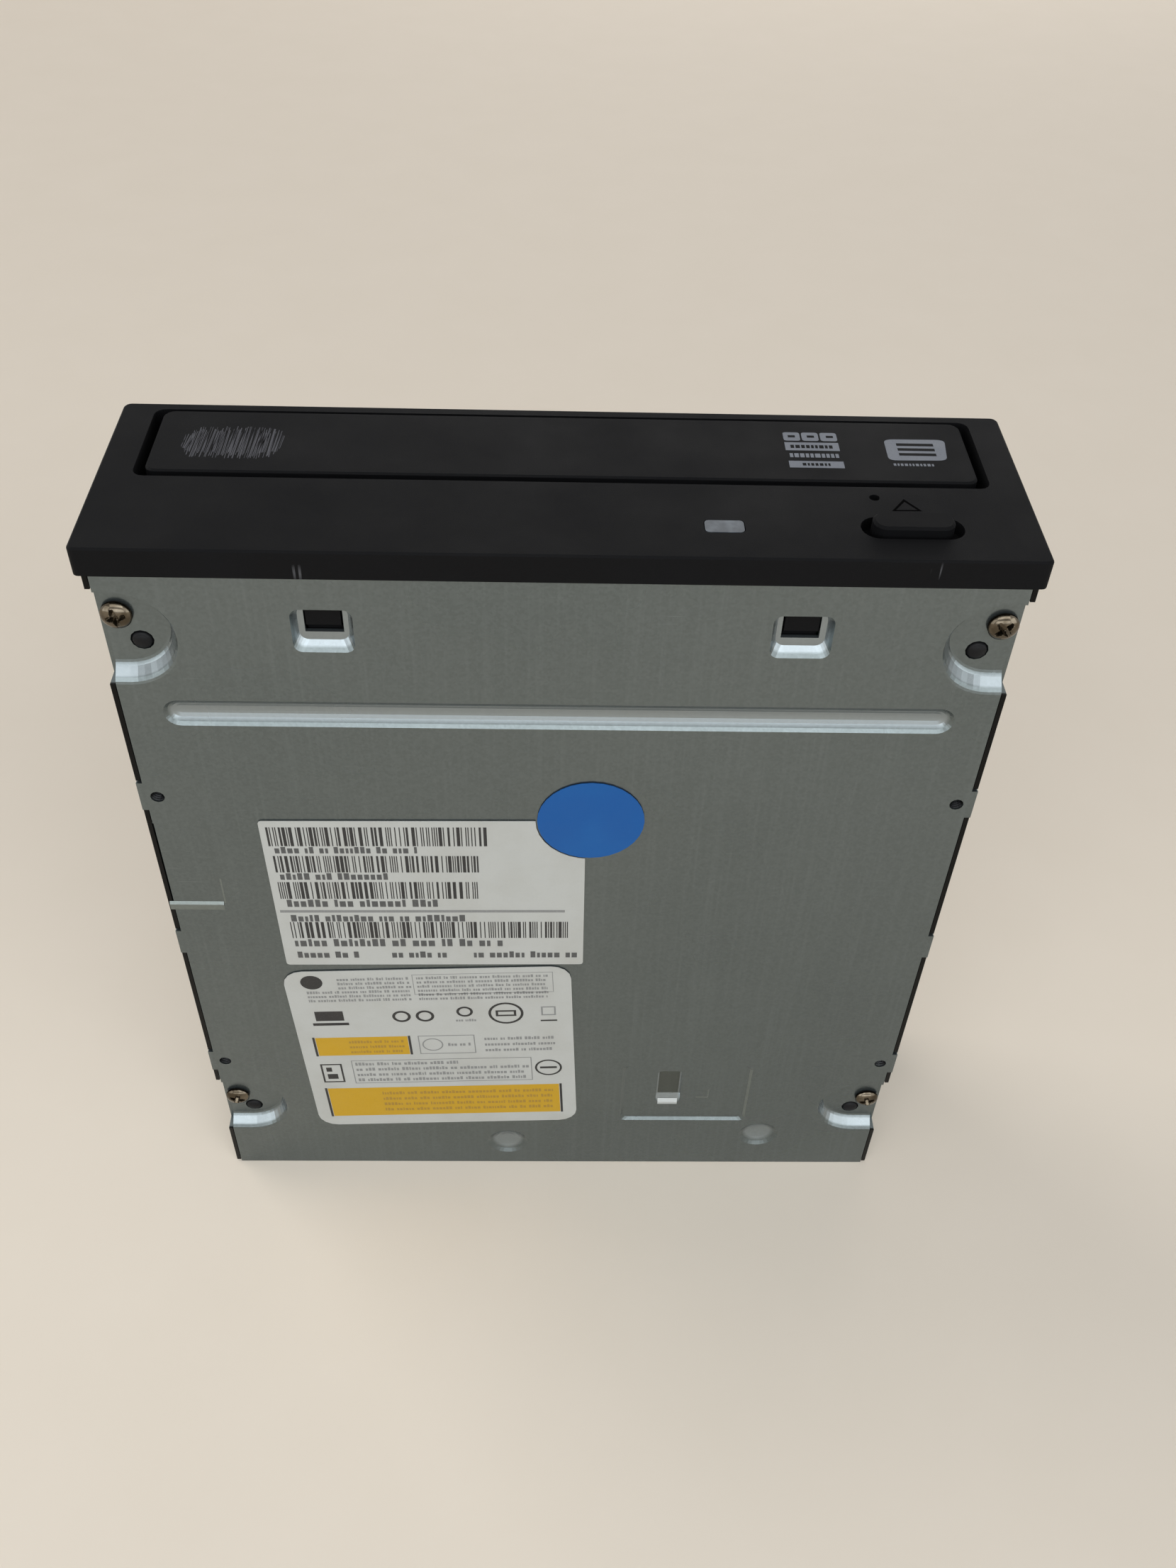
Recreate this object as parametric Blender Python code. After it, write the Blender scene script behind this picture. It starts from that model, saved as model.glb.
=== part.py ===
"""Half-height optical disc drive, standing on its rear end with its front bezel up.

Places are written as (across, depth, up): across is +X, up is +Z from the rear end to the bezel,
and depth runs from the bottom plate's outer face to the top cover, along +Y. Sizes are in metres.
"""

import math

import bmesh
import bpy
from mathutils import Vector

# Case
CASE_WIDTH = 0.146
CASE_HEIGHT = 0.0413
CASE_LENGTH = 0.1665
SHEET = 0.0008
GAP = 0.0003
RUNNING = 0.00008
FOLD_RADIUS = 0.0012

# Bottom plate
TAB_LENGTH = 0.0065
FLANGE_HEIGHT = 0.025
FLANGE_LOW = 0.034
FLANGE_HIGH = CASE_LENGTH - 0.0245
MOUNT_HOLE_ACROSS = CASE_WIDTH / 2 - 0.00315
MOUNT_HOLE_REAR = 0.0399
MOUNT_HOLE_FRONT = 0.11915
TAB_MIDDLE_UP = (MOUNT_HOLE_REAR + MOUNT_HOLE_FRONT) / 2
MOUNT_HOLE_RADIUS = 0.00125
MOUNT_COLLAR_RADIUS = 0.0019
MOUNT_COLLAR_DEPTH = 0.0024
SIDE_HOLE_LOW = 0.01
SIDE_HOLE_HIGH = 0.02184
SIDE_HOLE_RADIUS = 0.0017

# Corner pockets in the plate, each a half round pressed in and open to the side
POCKET_DEPTH = 0.0025
POCKET_RADIUS = 0.0092
POCKET_FRONT_ACROSS = CASE_WIDTH / 2 - 0.0035
POCKET_FRONT_UP = CASE_LENGTH - 0.0125
POCKET_REAR_ACROSS = CASE_WIDTH / 2 - 0.0052
POCKET_REAR_UP = 0.0227
POCKET_FLOOR_RADIUS = 0.0074
POCKET_FLOOR_RISE = 0.0014
POCKET_PROFILE = ((0.14, 0.05), (0.3, 0.22), (0.7, 0.8), (0.86, 0.95))
POCKET_SCREW_ACROSS = CASE_WIDTH / 2 - 0.0032
POCKET_SCREW_RISE = 0.0034
POCKET_SCREW_RISE_REAR = 0.0010
POCKET_PIN_ACROSS = CASE_WIDTH / 2 - 0.0062
POCKET_PIN_DROP = 0.0019
POCKET_PIN_DROP_REAR = 0.0031
PIN_RADIUS = 0.0016
PIN_STAND = 0.0019

# Other pressings in the plate
GROOVE_HALF = CASE_WIDTH / 2 - 0.0076
GROOVE_UP = CASE_LENGTH - 0.02775
GROOVE_WIDTH = 0.0055
GROOVE_DEPTH = 0.0012
GROOVE_PROFILE = ((0.2, 0.41), (0.455, 0.74), (0.71, 0.93), (0.89, 0.99))
LATCH_ACROSS = 0.03755
LATCH_WIDTH = 0.0061
LATCH_LOW = CASE_LENGTH - 0.0115
LATCH_HIGH = CASE_LENGTH - 0.0069
LATCH_DISH_LEFT = 0.00475
LATCH_DISH_RIGHT = 0.00495
LATCH_DISH_LOW = CASE_LENGTH - 0.0145
LATCH_DISH_HIGH = CASE_LENGTH - 0.0061
LATCH_DISH_DEPTH = 0.0015
LATCH_DISH_SLOPE = 0.0009
LATCH_DISH_LOW_SHARE = 1.6
LATCH_DISH_HIGH_SHARE = 0.4
STEP_LEFT = 0.0146
STEP_RIGHT = 0.0428
STEP_LOW = 0.0176
STEP_HIGH = 0.0385
STEP_DEPTH = 0.0005
STEP_SLOPE = 0.0007
STEP_NOTCH_ACROSS = 0.03395
STEP_NOTCH_RADIUS = 0.0034
STEP_WINDOW_LEFT = 0.0224
STEP_WINDOW_RIGHT = 0.0277
STEP_WINDOW_LOW = 0.024
STEP_WINDOW_HIGH = 0.036
STEP_WINDOW_DEPTH = 0.0014
STEP_WINDOW_LIP = 0.0024
DIMPLE_RADIUS = 0.0045
DIMPLE_DEPTH = 0.0013
DIMPLE_PROFILE = ((1.1, -0.23), (1.0, 0.0), (0.8, 0.38), (0.58, 0.685), (0.33, 0.9), (0.11, 0.99))
DIMPLE_LEFT_ACROSS = -0.0104
DIMPLE_LEFT_UP = 0.0086
DIMPLE_RIGHT_ACROSS = 0.0465
DIMPLE_RIGHT_UP = 0.012
SIDE_DISH_WIDTH = 0.0105
SIDE_DISH_LOW = 0.0906
SIDE_DISH_HIGH = 0.1125
SIDE_DISH_DEPTH = 0.00035

# Top cover
COVER_DISH_RADIUS = 0.031
COVER_DISH_DEPTH = 0.0006
COVER_RIB_ACROSS = CASE_WIDTH / 2 - 0.021
COVER_RIB_LENGTH = 0.09
COVER_RIB_WIDTH = 0.006
TOP_LATCH_ACROSS = 0.045
SIDE_LATCH_DEPTH = 0.0205
SIDE_LATCH_WIDTH = 0.0066

# Front bezel
BEZEL_WIDTH = CASE_WIDTH + 0.0022
BEZEL_HEIGHT = CASE_HEIGHT + 0.0007
BEZEL_THICK = 0.005
BEZEL_SKIN = 0.0024
BEZEL_RIM = 0.0018
BEZEL_CORNER = 0.001
BEZEL_RIBS = (-0.050, -0.017, 0.0315)
OPENING_WIDTH = CASE_WIDTH - 0.009
OPENING_LOW = CASE_HEIGHT - 0.0218
OPENING_HIGH = CASE_HEIGHT - 0.0016
OPENING_CORNER = 0.0018
HOOK_THICK = 0.0014
TOP_HOOK_THICK = 0.0009
HOOK_LENGTH = 0.0135
HOOK_RISE = 0.0013
HOLE_ACROSS = CASE_WIDTH / 2 - 0.0239
HOLE_DEPTH = CASE_HEIGHT - 0.0248
HOLE_RADIUS = 0.00085
POCKET_LEFT = CASE_WIDTH / 2 - 0.0273
POCKET_RIGHT = CASE_WIDTH / 2 - 0.0111
POCKET_LOW = 0.0053
POCKET_HIGH = 0.0111
POCKET_SINK = 0.0022

# Tray door
DOOR_WIDTH = CASE_WIDTH - 0.0122
DOOR_LOW = CASE_HEIGHT - 0.0201
DOOR_HIGH = CASE_HEIGHT - 0.0019
DOOR_THICK = 0.0028
DOOR_RIM_DEPTH = 0.0014
DOOR_CORNER = 0.0016

# Eject button, its switch and the indicator window
BUTTON_LEFT = CASE_WIDTH / 2 - 0.0256
BUTTON_RIGHT = CASE_WIDTH / 2 - 0.0128
BUTTON_LOW = 0.006
BUTTON_HIGH = 0.0106
BUTTON_CORNER = 0.0021
BUTTON_STAND = 0.0015
BUTTON_TRAVEL = 0.0008
STEM_WIDTH = 0.004
STEM_HEIGHT = 0.0024
STEM_SLACK = 0.0002
LED_LEFT = 0.0215
LED_RIGHT = 0.0276
LED_LOW = 0.0064
LED_HIGH = 0.0096
LED_SLACK = 0.00015
SWITCH_SIZE = 0.006
SWITCH_LOW = CASE_LENGTH - 0.0135
PLUNGER_RADIUS = 0.0010
FRONT_BOARD_LEFT = 0.014
FRONT_BOARD_RIGHT = CASE_WIDTH / 2 - 0.012
FRONT_BOARD_LOW = CASE_LENGTH - 0.0235
FRONT_BOARD_HIGH = CASE_LENGTH - 0.0065

# Spindle and disc
SPINDLE_UP = CASE_LENGTH - 0.073
DISC_SEAT = CASE_HEIGHT - 0.0093
DISC_RADIUS = 0.06
DISC_THICK = 0.0012

# Disc tray
TRAY_TRAVEL = 0.137
TRAY_HALF = CASE_WIDTH / 2 - 0.0088
TRAY_LOW = 0.009
TRAY_HIGH = CASE_LENGTH - 0.0029
TRAY_UNDER = CASE_HEIGHT - 0.0127
TRAY_RIM = CASE_HEIGHT - 0.0083
DISC_RECESS_RADIUS = 0.0606
DISC_RECESS_FLOOR = CASE_HEIGHT - 0.0103
SMALL_RECESS_RADIUS = 0.0406
SMALL_RECESS_FLOOR = CASE_HEIGHT - 0.0113
TRAY_SLOT_HALF = 0.0195
TRAY_LIP_HALF = CASE_WIDTH / 2 - 0.013
TRAY_LIP_LOW = CASE_HEIGHT - 0.0168
TRAY_LIP_HIGH = CASE_HEIGHT - 0.0045
RUNNER_STAND = 0.0024
RUNNER_THICK = 0.0022
RUNNER_HIGH = CASE_LENGTH - 0.0165
RACK_DEPTH = 0.0036
RACK_BACK = 0.003

# Loading gear train: teeth with 25 degree flanks and short tips
PRESSURE_ANGLE = 25.0
TIP_SHARE = 0.8
ROOT_SHARE = 1.0
BACKLASH = 0.00012
RACK_MODULE = 0.001
WHEEL_MODULE = 0.0008
PINION_TEETH = 16
WHEEL_TEETH = 32
PULLEY_PINION_TEETH = 12
GEAR_ACROSS = 0.023 - CASE_WIDTH / 2
GEAR_UP = CASE_LENGTH - 0.0165
PULLEY_BEARING = -10.0
MOTOR_SHAFT_ACROSS = -0.008
MOTOR_SHAFT_UP = CASE_LENGTH - 0.0167
POST_RADIUS = 0.0015
GEAR_FOOT = CASE_HEIGHT - 0.0244
WHEEL_FACE = CASE_HEIGHT - 0.0201
WHEEL_THICK = 0.003
PINION_TOP = CASE_HEIGHT - 0.0133
PULLEY_RADIUS = 0.009
PULLEY_TOP = CASE_HEIGHT - 0.0207
GROOVE_SINK = 0.0012
MOTOR_PULLEY_RADIUS = 0.0034
BELT_THICK = 0.0010
LOADING_MOTOR_RADIUS = 0.010
LOADING_MOTOR_LOW = 0.005

# Main frame
FRAME_HALF = CASE_WIDTH / 2 - 0.0035
FRAME_LOW = 0.004
FRAME_HIGH = CASE_LENGTH - 0.0045
FRAME_FOOT = 0.0036
FRAME_FLOOR = CASE_HEIGHT - 0.0263
FLOOR_THICK = 0.0016
FRAME_RAIL_TOP = CASE_HEIGHT - 0.0073
FRAME_INNER = CASE_WIDTH / 2 - 0.0084
FRAME_SKIRT = 0.0015
WINDOW_MARGIN = 0.0042
WINDOW_LOW = 0.0088
WINDOW_HIGH = CASE_LENGTH - 0.034
BOSS_RADIUS = 0.0021
EAR_LENGTH = 0.006
EAR_HALF = 0.0036
REAR_BEAM_TOP = CASE_HEIGHT - 0.0188
REAR_BEAM_THICK = 0.003

# Cam slider and lift frame
LIFT_TILT = 4.0
LIFT_HALF = 0.042
LIFT_LOW = 0.0175
LIFT_HIGH = CASE_LENGTH - 0.0405
LIFT_UNDER = CASE_HEIGHT - 0.0303
LIFT_TOP = CASE_HEIGHT - 0.0243
LIFT_WINDOW_HALF = LIFT_HALF - 0.0095
LIFT_WINDOW_LOW = 0.0262
LIFT_WINDOW_HIGH = CASE_LENGTH - 0.0475
PIVOT_UP = 0.0222
PIVOT_DEPTH = CASE_HEIGHT - 0.0273
PIVOT_RADIUS = 0.002
PIVOT_LENGTH = 0.0035
CAM_PIN_ACROSS = LIFT_HALF - 0.02
CAM_PIN_RADIUS = 0.0012
CAM_TRAVEL = 0.016
CAM_LOW = CASE_LENGTH - 0.0379
CAM_THICK = 0.0022
CAM_LEFT = 0.0008 - LIFT_HALF
CAM_RIGHT = LIFT_HALF - 0.0124
CAM_TOP = CASE_HEIGHT - 0.0218
CAM_UNDER = 0.0034
CAM_SLACK = 0.0002
CAM_SHELF_HIGH = CASE_LENGTH - 0.0295
CAM_SHELF_THICK = 0.002

# Traverse: chassis, dampers, rods, pickup and motors
CHASSIS_HALF = LIFT_HALF - 0.0015
CHASSIS_LOW = 0.0225
CHASSIS_HIGH = CASE_LENGTH - 0.049
CHASSIS_UNDER = CASE_HEIGHT - 0.0217
CHASSIS_THICK = 0.0012
DAMPER_ACROSS = LIFT_HALF - 0.005
DAMPER_LOW = 0.030
DAMPER_HIGH = CASE_LENGTH - 0.0565
DAMPER_RADIUS = 0.0032
DAMPER_NECK = 0.0021
DAMPER_BORE = 0.0013
DAMPER_SCREW_RADIUS = 0.001
ROD_ACROSS = 0.020
ROD_DEPTH = CASE_HEIGHT - 0.0193
ROD_RADIUS = 0.0015
ROD_LOW = 0.0255
ROD_HIGH = CASE_LENGTH - 0.0825
ROD_BLOCK = 0.0035
LENS_REST = 0.022
PICKUP_TRAVEL = 0.035
PICKUP_HALF = 0.016
PICKUP_BEFORE = 0.0088
PICKUP_BEHIND = 0.0085
PICKUP_UNDER = CASE_HEIGHT - 0.0241
PICKUP_TOP = CASE_HEIGHT - 0.0151
SLEEVE_RADIUS = 0.0031
LENS_RADIUS = 0.0035
LENS_TOP = CASE_HEIGHT - 0.011
LENS_TRAVEL = 0.0004
SCREW_ACROSS = 0.0262
SCREW_LOW = 0.0298
SCREW_RADIUS = 0.0015
SCREW_TIP_RADIUS = 0.0009
SLED_MOTOR_RADIUS = 0.006
SLED_MOTOR_LENGTH = 0.013
SPINDLE_MOTOR_RADIUS = 0.0108
MOTOR_PLATE_HALF = 0.0165
MOTOR_PLATE_BELOW = 0.0085
MOTOR_PLATE_ABOVE = 0.020
SPINDLE_MOTOR_TOP = CASE_HEIGHT - 0.0161
TURNTABLE_RADIUS = 0.0145
TURNTABLE_NECK = 0.0035
HUB_RADIUS = 0.0074
HUB_TOP = CASE_HEIGHT - 0.0075
SHAFT_RADIUS = 0.0012
CLAMPER_RADIUS = 0.0114
CLAMPER_FLANGE = 0.0142
CLAMPER_UNDER = CASE_HEIGHT - 0.0079
BRIDGE_UNDER = CASE_HEIGHT - 0.0051
BRIDGE_THICK = 0.0012
BRIDGE_HALF = 0.013
BRIDGE_REACH = CASE_WIDTH / 2 - 0.0045

# Boards and sockets
BOARD_UNDER = 0.0046
BOARD_THICK = 0.0016
BOARD_HALF = CASE_WIDTH / 2 - 0.0135
BOARD_LOW = 0.0034
MAIN_CHIP_CENTRE = (0.012, 0.040)
MAIN_CHIP_SIZE = 0.020
DRIVER_CHIP_CENTRE = (-0.024, 0.036)
DRIVER_CHIP_SIZE = 0.012
CHIP_THICK = 0.0014
CABLE_CENTRE = CASE_WIDTH / 2 - 0.0195
CABLE_WIDTH = 0.008
CABLE_THICK = 0.0003
BOARD_HIGH = 0.066
SOCKET_LEFT = -0.052
SOCKET_WIDTH = 0.0416
SOCKET_HEIGHT = 0.008
SOCKET_LENGTH = 0.015
DATA_PLUG_WIDTH = 0.0116
POWER_PLUG_WIDTH = 0.0222
PLUG_SLOT = 0.0048
PLUG_DEEP = 0.0072
TONGUE_THICK = 0.0012

# Screws, labels
SCREW_HEAD_RADIUS = 0.0025
SCREW_HEAD_HEIGHT = 0.0014
SCREW_SHANK_RADIUS = 0.0011
LABEL_THICK = 0.00013
LABEL_LIFT = 0.00015
UPPER_LABEL_CENTRE = (-0.02415, 0.0937)
UPPER_LABEL_SIZE = (0.058, 0.0405)
UPPER_LABEL_TURN = 0.7
LOWER_LABEL_CENTRE = (-0.02465, 0.0444)
LOWER_LABEL_SIZE = (0.0572, 0.055)
LOWER_LABEL_TURN = 2.5
LOWER_LABEL_CORNER = 0.004
STICKER_CENTRE = (0.0055, 0.1143)
STICKER_RADIUS = 0.00953

# Colours, roughness and metallic value of each material
MATERIALS = {
    "steel_sheet": ((0.13, 0.135, 0.13), 0.45, 1.0),
    "black_plastic": ((0.018, 0.018, 0.018), 0.5, 0.0),
    "frame_plastic": ((0.03, 0.03, 0.032), 0.55, 0.0),
    "white_plastic": ((0.7, 0.7, 0.66), 0.45, 0.0),
    "bright_metal": ((0.6, 0.58, 0.53), 0.3, 1.0),
    "rubber": ((0.02, 0.02, 0.02), 0.85, 0.0),
    "board": ((0.02, 0.1, 0.04), 0.5, 0.0),
    "label_paper": ((0.45, 0.45, 0.41), 0.6, 0.0),
    "sticker_blue": ((0.01, 0.1, 0.33), 0.5, 0.0),
    "clear_lens": ((0.45, 0.5, 0.55), 0.15, 0.0),
}


def bezel_back():
    return CASE_LENGTH


def bezel_face():
    return CASE_LENGTH + BEZEL_THICK


# Outlines, as lists of two-number points


def box_outline(low_a, low_b, high_a, high_b):
    return [(low_a, low_b), (high_a, low_b), (high_a, high_b), (low_a, high_b)]


def moved_outline(points, centre):
    return [(a + centre[0], b + centre[1]) for a, b in points]


def arc(centre, radius, start, end, steps):
    """Points on an arc from start to end, in degrees, both ends included."""
    points = []
    for step in range(steps + 1):
        angle = math.radians(start + (end - start) * step / steps)
        points.append((centre[0] + radius * math.cos(angle), centre[1] + radius * math.sin(angle)))
    return points


def circle(centre, radius, steps=24):
    return arc(centre, radius, 0.0, 360.0 * (steps - 1) / steps, steps - 1)


def rounded(low_a, low_b, high_a, high_b, radius, steps=4):
    """A rectangle with round corners."""
    corners = (
        (high_a - radius, low_b + radius, -90.0),
        (high_a - radius, high_b - radius, 0.0),
        (low_a + radius, high_b - radius, 90.0),
        (low_a + radius, low_b + radius, 180.0),
    )
    points = []
    for a, b, start in corners:
        points.extend(arc((a, b), radius, start, start + 90.0, steps))
    return points


def turned_outline(points, centre, degrees):
    """The outline turned about a centre and moved there."""
    cos = math.cos(math.radians(degrees))
    sin = math.sin(math.radians(degrees))
    return [(centre[0] + a * cos - b * sin, centre[1] + a * sin + b * cos) for a, b in points]


def half_round(across, up, radius, reach, steps=22):
    """A half disc that bulges towards the drive's middle and runs out to reach at the side."""
    points = [(reach, up - radius)]
    points.extend(arc((across, up), radius, -90.0, -270.0, steps))
    points.append((reach, up + radius))
    return points


def involute_point(base, radius, side, half_angle):
    """A point of a tooth flank at this radius: side is 1 or -1, half_angle the base half angle."""
    roll = math.sqrt(max((radius / base) ** 2 - 1.0, 0.0))
    angle = side * (half_angle - (roll - math.atan(roll)))
    return radius * math.cos(angle), radius * math.sin(angle)


def gear_outline(teeth, module, phase, flank_steps=2):
    """A spur gear's outline about (0, 0), with one tooth's middle at phase degrees."""
    pitch = teeth * module / 2
    pressure = math.radians(PRESSURE_ANGLE)
    base = pitch * math.cos(pressure)
    tip = pitch + TIP_SHARE * module
    root = pitch - ROOT_SHARE * module
    start = max(base, root)
    half_pitch_angle = (math.pi * module / 2 - BACKLASH) / 2 / pitch
    half_angle = half_pitch_angle + math.tan(pressure) - pressure
    radii = [start + (tip - start) * step / flank_steps for step in range(flank_steps + 1)]
    points = []
    for tooth in range(teeth):
        middle = math.radians(phase) + 2 * math.pi * tooth / teeth
        flanks = [involute_point(base, radius, -1, half_angle) for radius in radii]
        flanks += [involute_point(base, radius, 1, half_angle) for radius in reversed(radii)]
        foot = half_angle if start > root else 0.0
        if foot:
            root_point = (root * math.cos(foot), root * math.sin(foot))
            flanks.insert(0, (root_point[0], -root_point[1]))
            flanks.append(root_point)
        cos = math.cos(middle)
        sin = math.sin(middle)
        points.extend((a * cos - b * sin, a * sin + b * cos) for a, b in flanks)
    return points


def rack_outline(pitch_line, back, low, high, first_tooth, module):
    """A rack with teeth towards -across. first_tooth is the middle of one tooth."""
    pitch = math.pi * module
    slope = math.tan(math.radians(PRESSURE_ANGLE))
    tip = TIP_SHARE * module
    root = ROOT_SHARE * module
    half = (math.pi * module / 2 - BACKLASH) / 2
    points = [(back, high), (back, low), (pitch_line + root, low)]
    tooth = math.ceil((low + pitch / 2 - first_tooth) / pitch)
    while first_tooth + tooth * pitch + pitch / 2 < high:
        middle = first_tooth + tooth * pitch
        points.append((pitch_line + root, middle - half - root * slope))
        points.append((pitch_line - tip, middle - half + tip * slope))
        points.append((pitch_line - tip, middle + half - tip * slope))
        points.append((pitch_line + root, middle + half + root * slope))
        tooth += 1
    points.append((pitch_line + root, high))
    return points


def belt_outline(first, first_radius, second, second_radius, steps=16):
    """The loop of a belt round two pulleys."""
    across = second[0] - first[0]
    up = second[1] - first[1]
    facing = math.degrees(math.atan2(up, across))
    lean = math.degrees(math.acos((first_radius - second_radius) / math.hypot(across, up)))
    points = arc(first, first_radius, facing + lean, facing + 360.0 - lean, steps)
    points += arc(second, second_radius, facing - lean, facing + lean, steps)
    return points


# Shapes: lists of corners and faces in (across, depth, up)


def loft(sections, axis, ring=False):
    """Joins outlines of as many points each, given as (outline, level) along an axis.

    Along "depth" an outline is (across, up), along "up" (across, depth), along "across" (depth, up).
    With ring, the last section joins the first, and there are no end caps.
    """
    corners = []
    for outline, level in sections:
        for a, b in outline:
            if axis == "depth":
                corners.append((a, level, b))
            elif axis == "up":
                corners.append((a, b, level))
            else:
                corners.append((level, a, b))
    count = len(sections[0][0])
    faces = []
    for index in range(len(sections) if ring else len(sections) - 1):
        here = index * count
        there = (index + 1) % len(sections) * count
        for step in range(count):
            after = (step + 1) % count
            faces.append((here + step, here + after, there + after, there + step))
    if not ring:
        faces.append(tuple(range(count)))
        faces.append(tuple(range((len(sections) - 1) * count, len(sections) * count)))
    return corners, faces


def prism(outline, low, high, axis="depth"):
    return loft([(outline, low), (outline, high)], axis)


def block(across, depth, up):
    """A box from three (low, high) pairs."""
    return prism(box_outline(across[0], up[0], across[1], up[1]), depth[0], depth[1])


def rod(centre, radius, low, high, axis="depth", steps=16):
    return prism(circle(centre, radius, steps), low, high, axis)


def turned(centre, profile, axis="depth", steps=16, ring=False):
    """A turned piece from (radius, level) pairs."""
    return loft([(circle(centre, radius, steps), level) for radius, level in profile], axis, ring)


def mirrored(shape):
    corners, faces = shape
    return [(-a, b, c) for a, b, c in corners], faces


def both_sides(*shapes):
    return list(shapes) + [mirrored(shape) for shape in shapes]


# Objects


def mesh_of(name, shapes):
    """One mesh from shapes that don't meet, with the faces of each pointing out."""
    mesh = bpy.data.meshes.new(name)
    corners = []
    faces = []
    for shape_corners, shape_faces in shapes:
        first = len(corners)
        corners += [(a, depth - CASE_HEIGHT / 2, c) for a, depth, c in shape_corners]
        faces += [tuple(first + corner for corner in face) for face in shape_faces]
    mesh.from_pydata(corners, [], faces)
    work = bmesh.new()
    work.from_mesh(mesh)
    bmesh.ops.recalc_face_normals(work, faces=work.faces)
    work.to_mesh(mesh)
    work.free()
    return mesh


def piece(name, shape, material):
    """A named sub-part, shaded smooth with sharp edges kept."""
    mesh = mesh_of(name, [shape])
    mesh.materials.append(material_of(material))
    mesh.shade_smooth()
    mesh.set_sharp_from_angle(angle=math.radians(35))
    obj = bpy.data.objects.new(name, mesh)
    bpy.context.collection.objects.link(obj)
    return obj


def combine(obj, operation, shapes):
    """Adds or cuts shapes, which don't meet each other, with one Boolean."""
    name = f"{obj.name}_{operation.lower()}_{len(obj.modifiers)}"
    tool = bpy.data.objects.new(name, mesh_of(name, shapes))
    bpy.context.collection.objects.link(tool)
    tool.hide_render = True
    tool.display_type = "WIRE"
    modifier = obj.modifiers.new(operation.lower(), "BOOLEAN")
    modifier.operation = operation
    modifier.solver = "EXACT"
    modifier.object = tool
    return obj


def add(obj, *shapes):
    return combine(obj, "UNION", shapes)


def cut(obj, *shapes):
    return combine(obj, "DIFFERENCE", shapes)


def material_of(name):
    if name in bpy.data.materials:
        return bpy.data.materials[name]
    colour, roughness, metallic = MATERIALS[name]
    material = bpy.data.materials.new(name)
    material.use_nodes = True
    shader = material.node_tree.nodes["Principled BSDF"]
    shader.inputs["Base Color"].default_value = (*colour, 1.0)
    shader.inputs["Roughness"].default_value = roughness
    shader.inputs["Metallic"].default_value = metallic
    return material


def carry(name, axis_point, pieces):
    """An empty on the joint's axis, which the moving pieces hang from."""
    empty = bpy.data.objects.new(name, None)
    across, depth, up = axis_point
    empty.location = Vector((across, depth - CASE_HEIGHT / 2, up))
    empty.empty_display_size = 0.01
    bpy.context.collection.objects.link(empty)
    for obj in pieces:
        obj.parent = empty
        obj.location = -empty.location
    return empty


# Sub-parts


def pocket_places():
    """Across, up of each pocket's middle, its screw's and its pin's up place."""
    return (
        (
            POCKET_FRONT_ACROSS,
            POCKET_FRONT_UP,
            POCKET_FRONT_UP + POCKET_SCREW_RISE,
            POCKET_FRONT_UP - POCKET_PIN_DROP,
        ),
        (
            POCKET_REAR_ACROSS,
            POCKET_REAR_UP,
            POCKET_REAR_UP + POCKET_SCREW_RISE_REAR,
            POCKET_REAR_UP - POCKET_PIN_DROP_REAR,
        ),
    )


def pocket_form(across, up, grow, deeper, reach):
    """The pressed pocket: a half round that narrows to its floor, steepest on its upper side.

    Its outer side has a rounded slope, and its inner side, which grows, has a straight one.
    """
    rim = half_round(across, up, POCKET_RADIUS + grow, reach)
    sections = [(rim, deeper - SHEET / 2), (rim, deeper)]
    shares = POCKET_PROFILE if grow == 0.0 else ()
    for inward, sunk in (*shares, (1.0, 1.0)):
        radius = POCKET_RADIUS + grow + (POCKET_FLOOR_RADIUS - POCKET_RADIUS) * inward
        outline = half_round(across, up + POCKET_FLOOR_RISE * inward, radius, reach)
        sections.append((outline, POCKET_DEPTH * sunk + deeper))
    return loft(sections, "depth")


def dish(outline_of, depth, slope):
    """The bulge inside and the recess outside of a shallow pressing.

    outline_of gives the outline grown by a distance.
    """
    bulge = loft(
        [
            (outline_of(SHEET), SHEET / 2),
            (outline_of(SHEET - slope), SHEET + depth),
        ],
        "depth",
    )
    recess = loft(
        [(outline_of(slope), -depth), (outline_of(0.0), 0.0), (outline_of(-slope), depth)],
        "depth",
    )
    return bulge, recess


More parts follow.
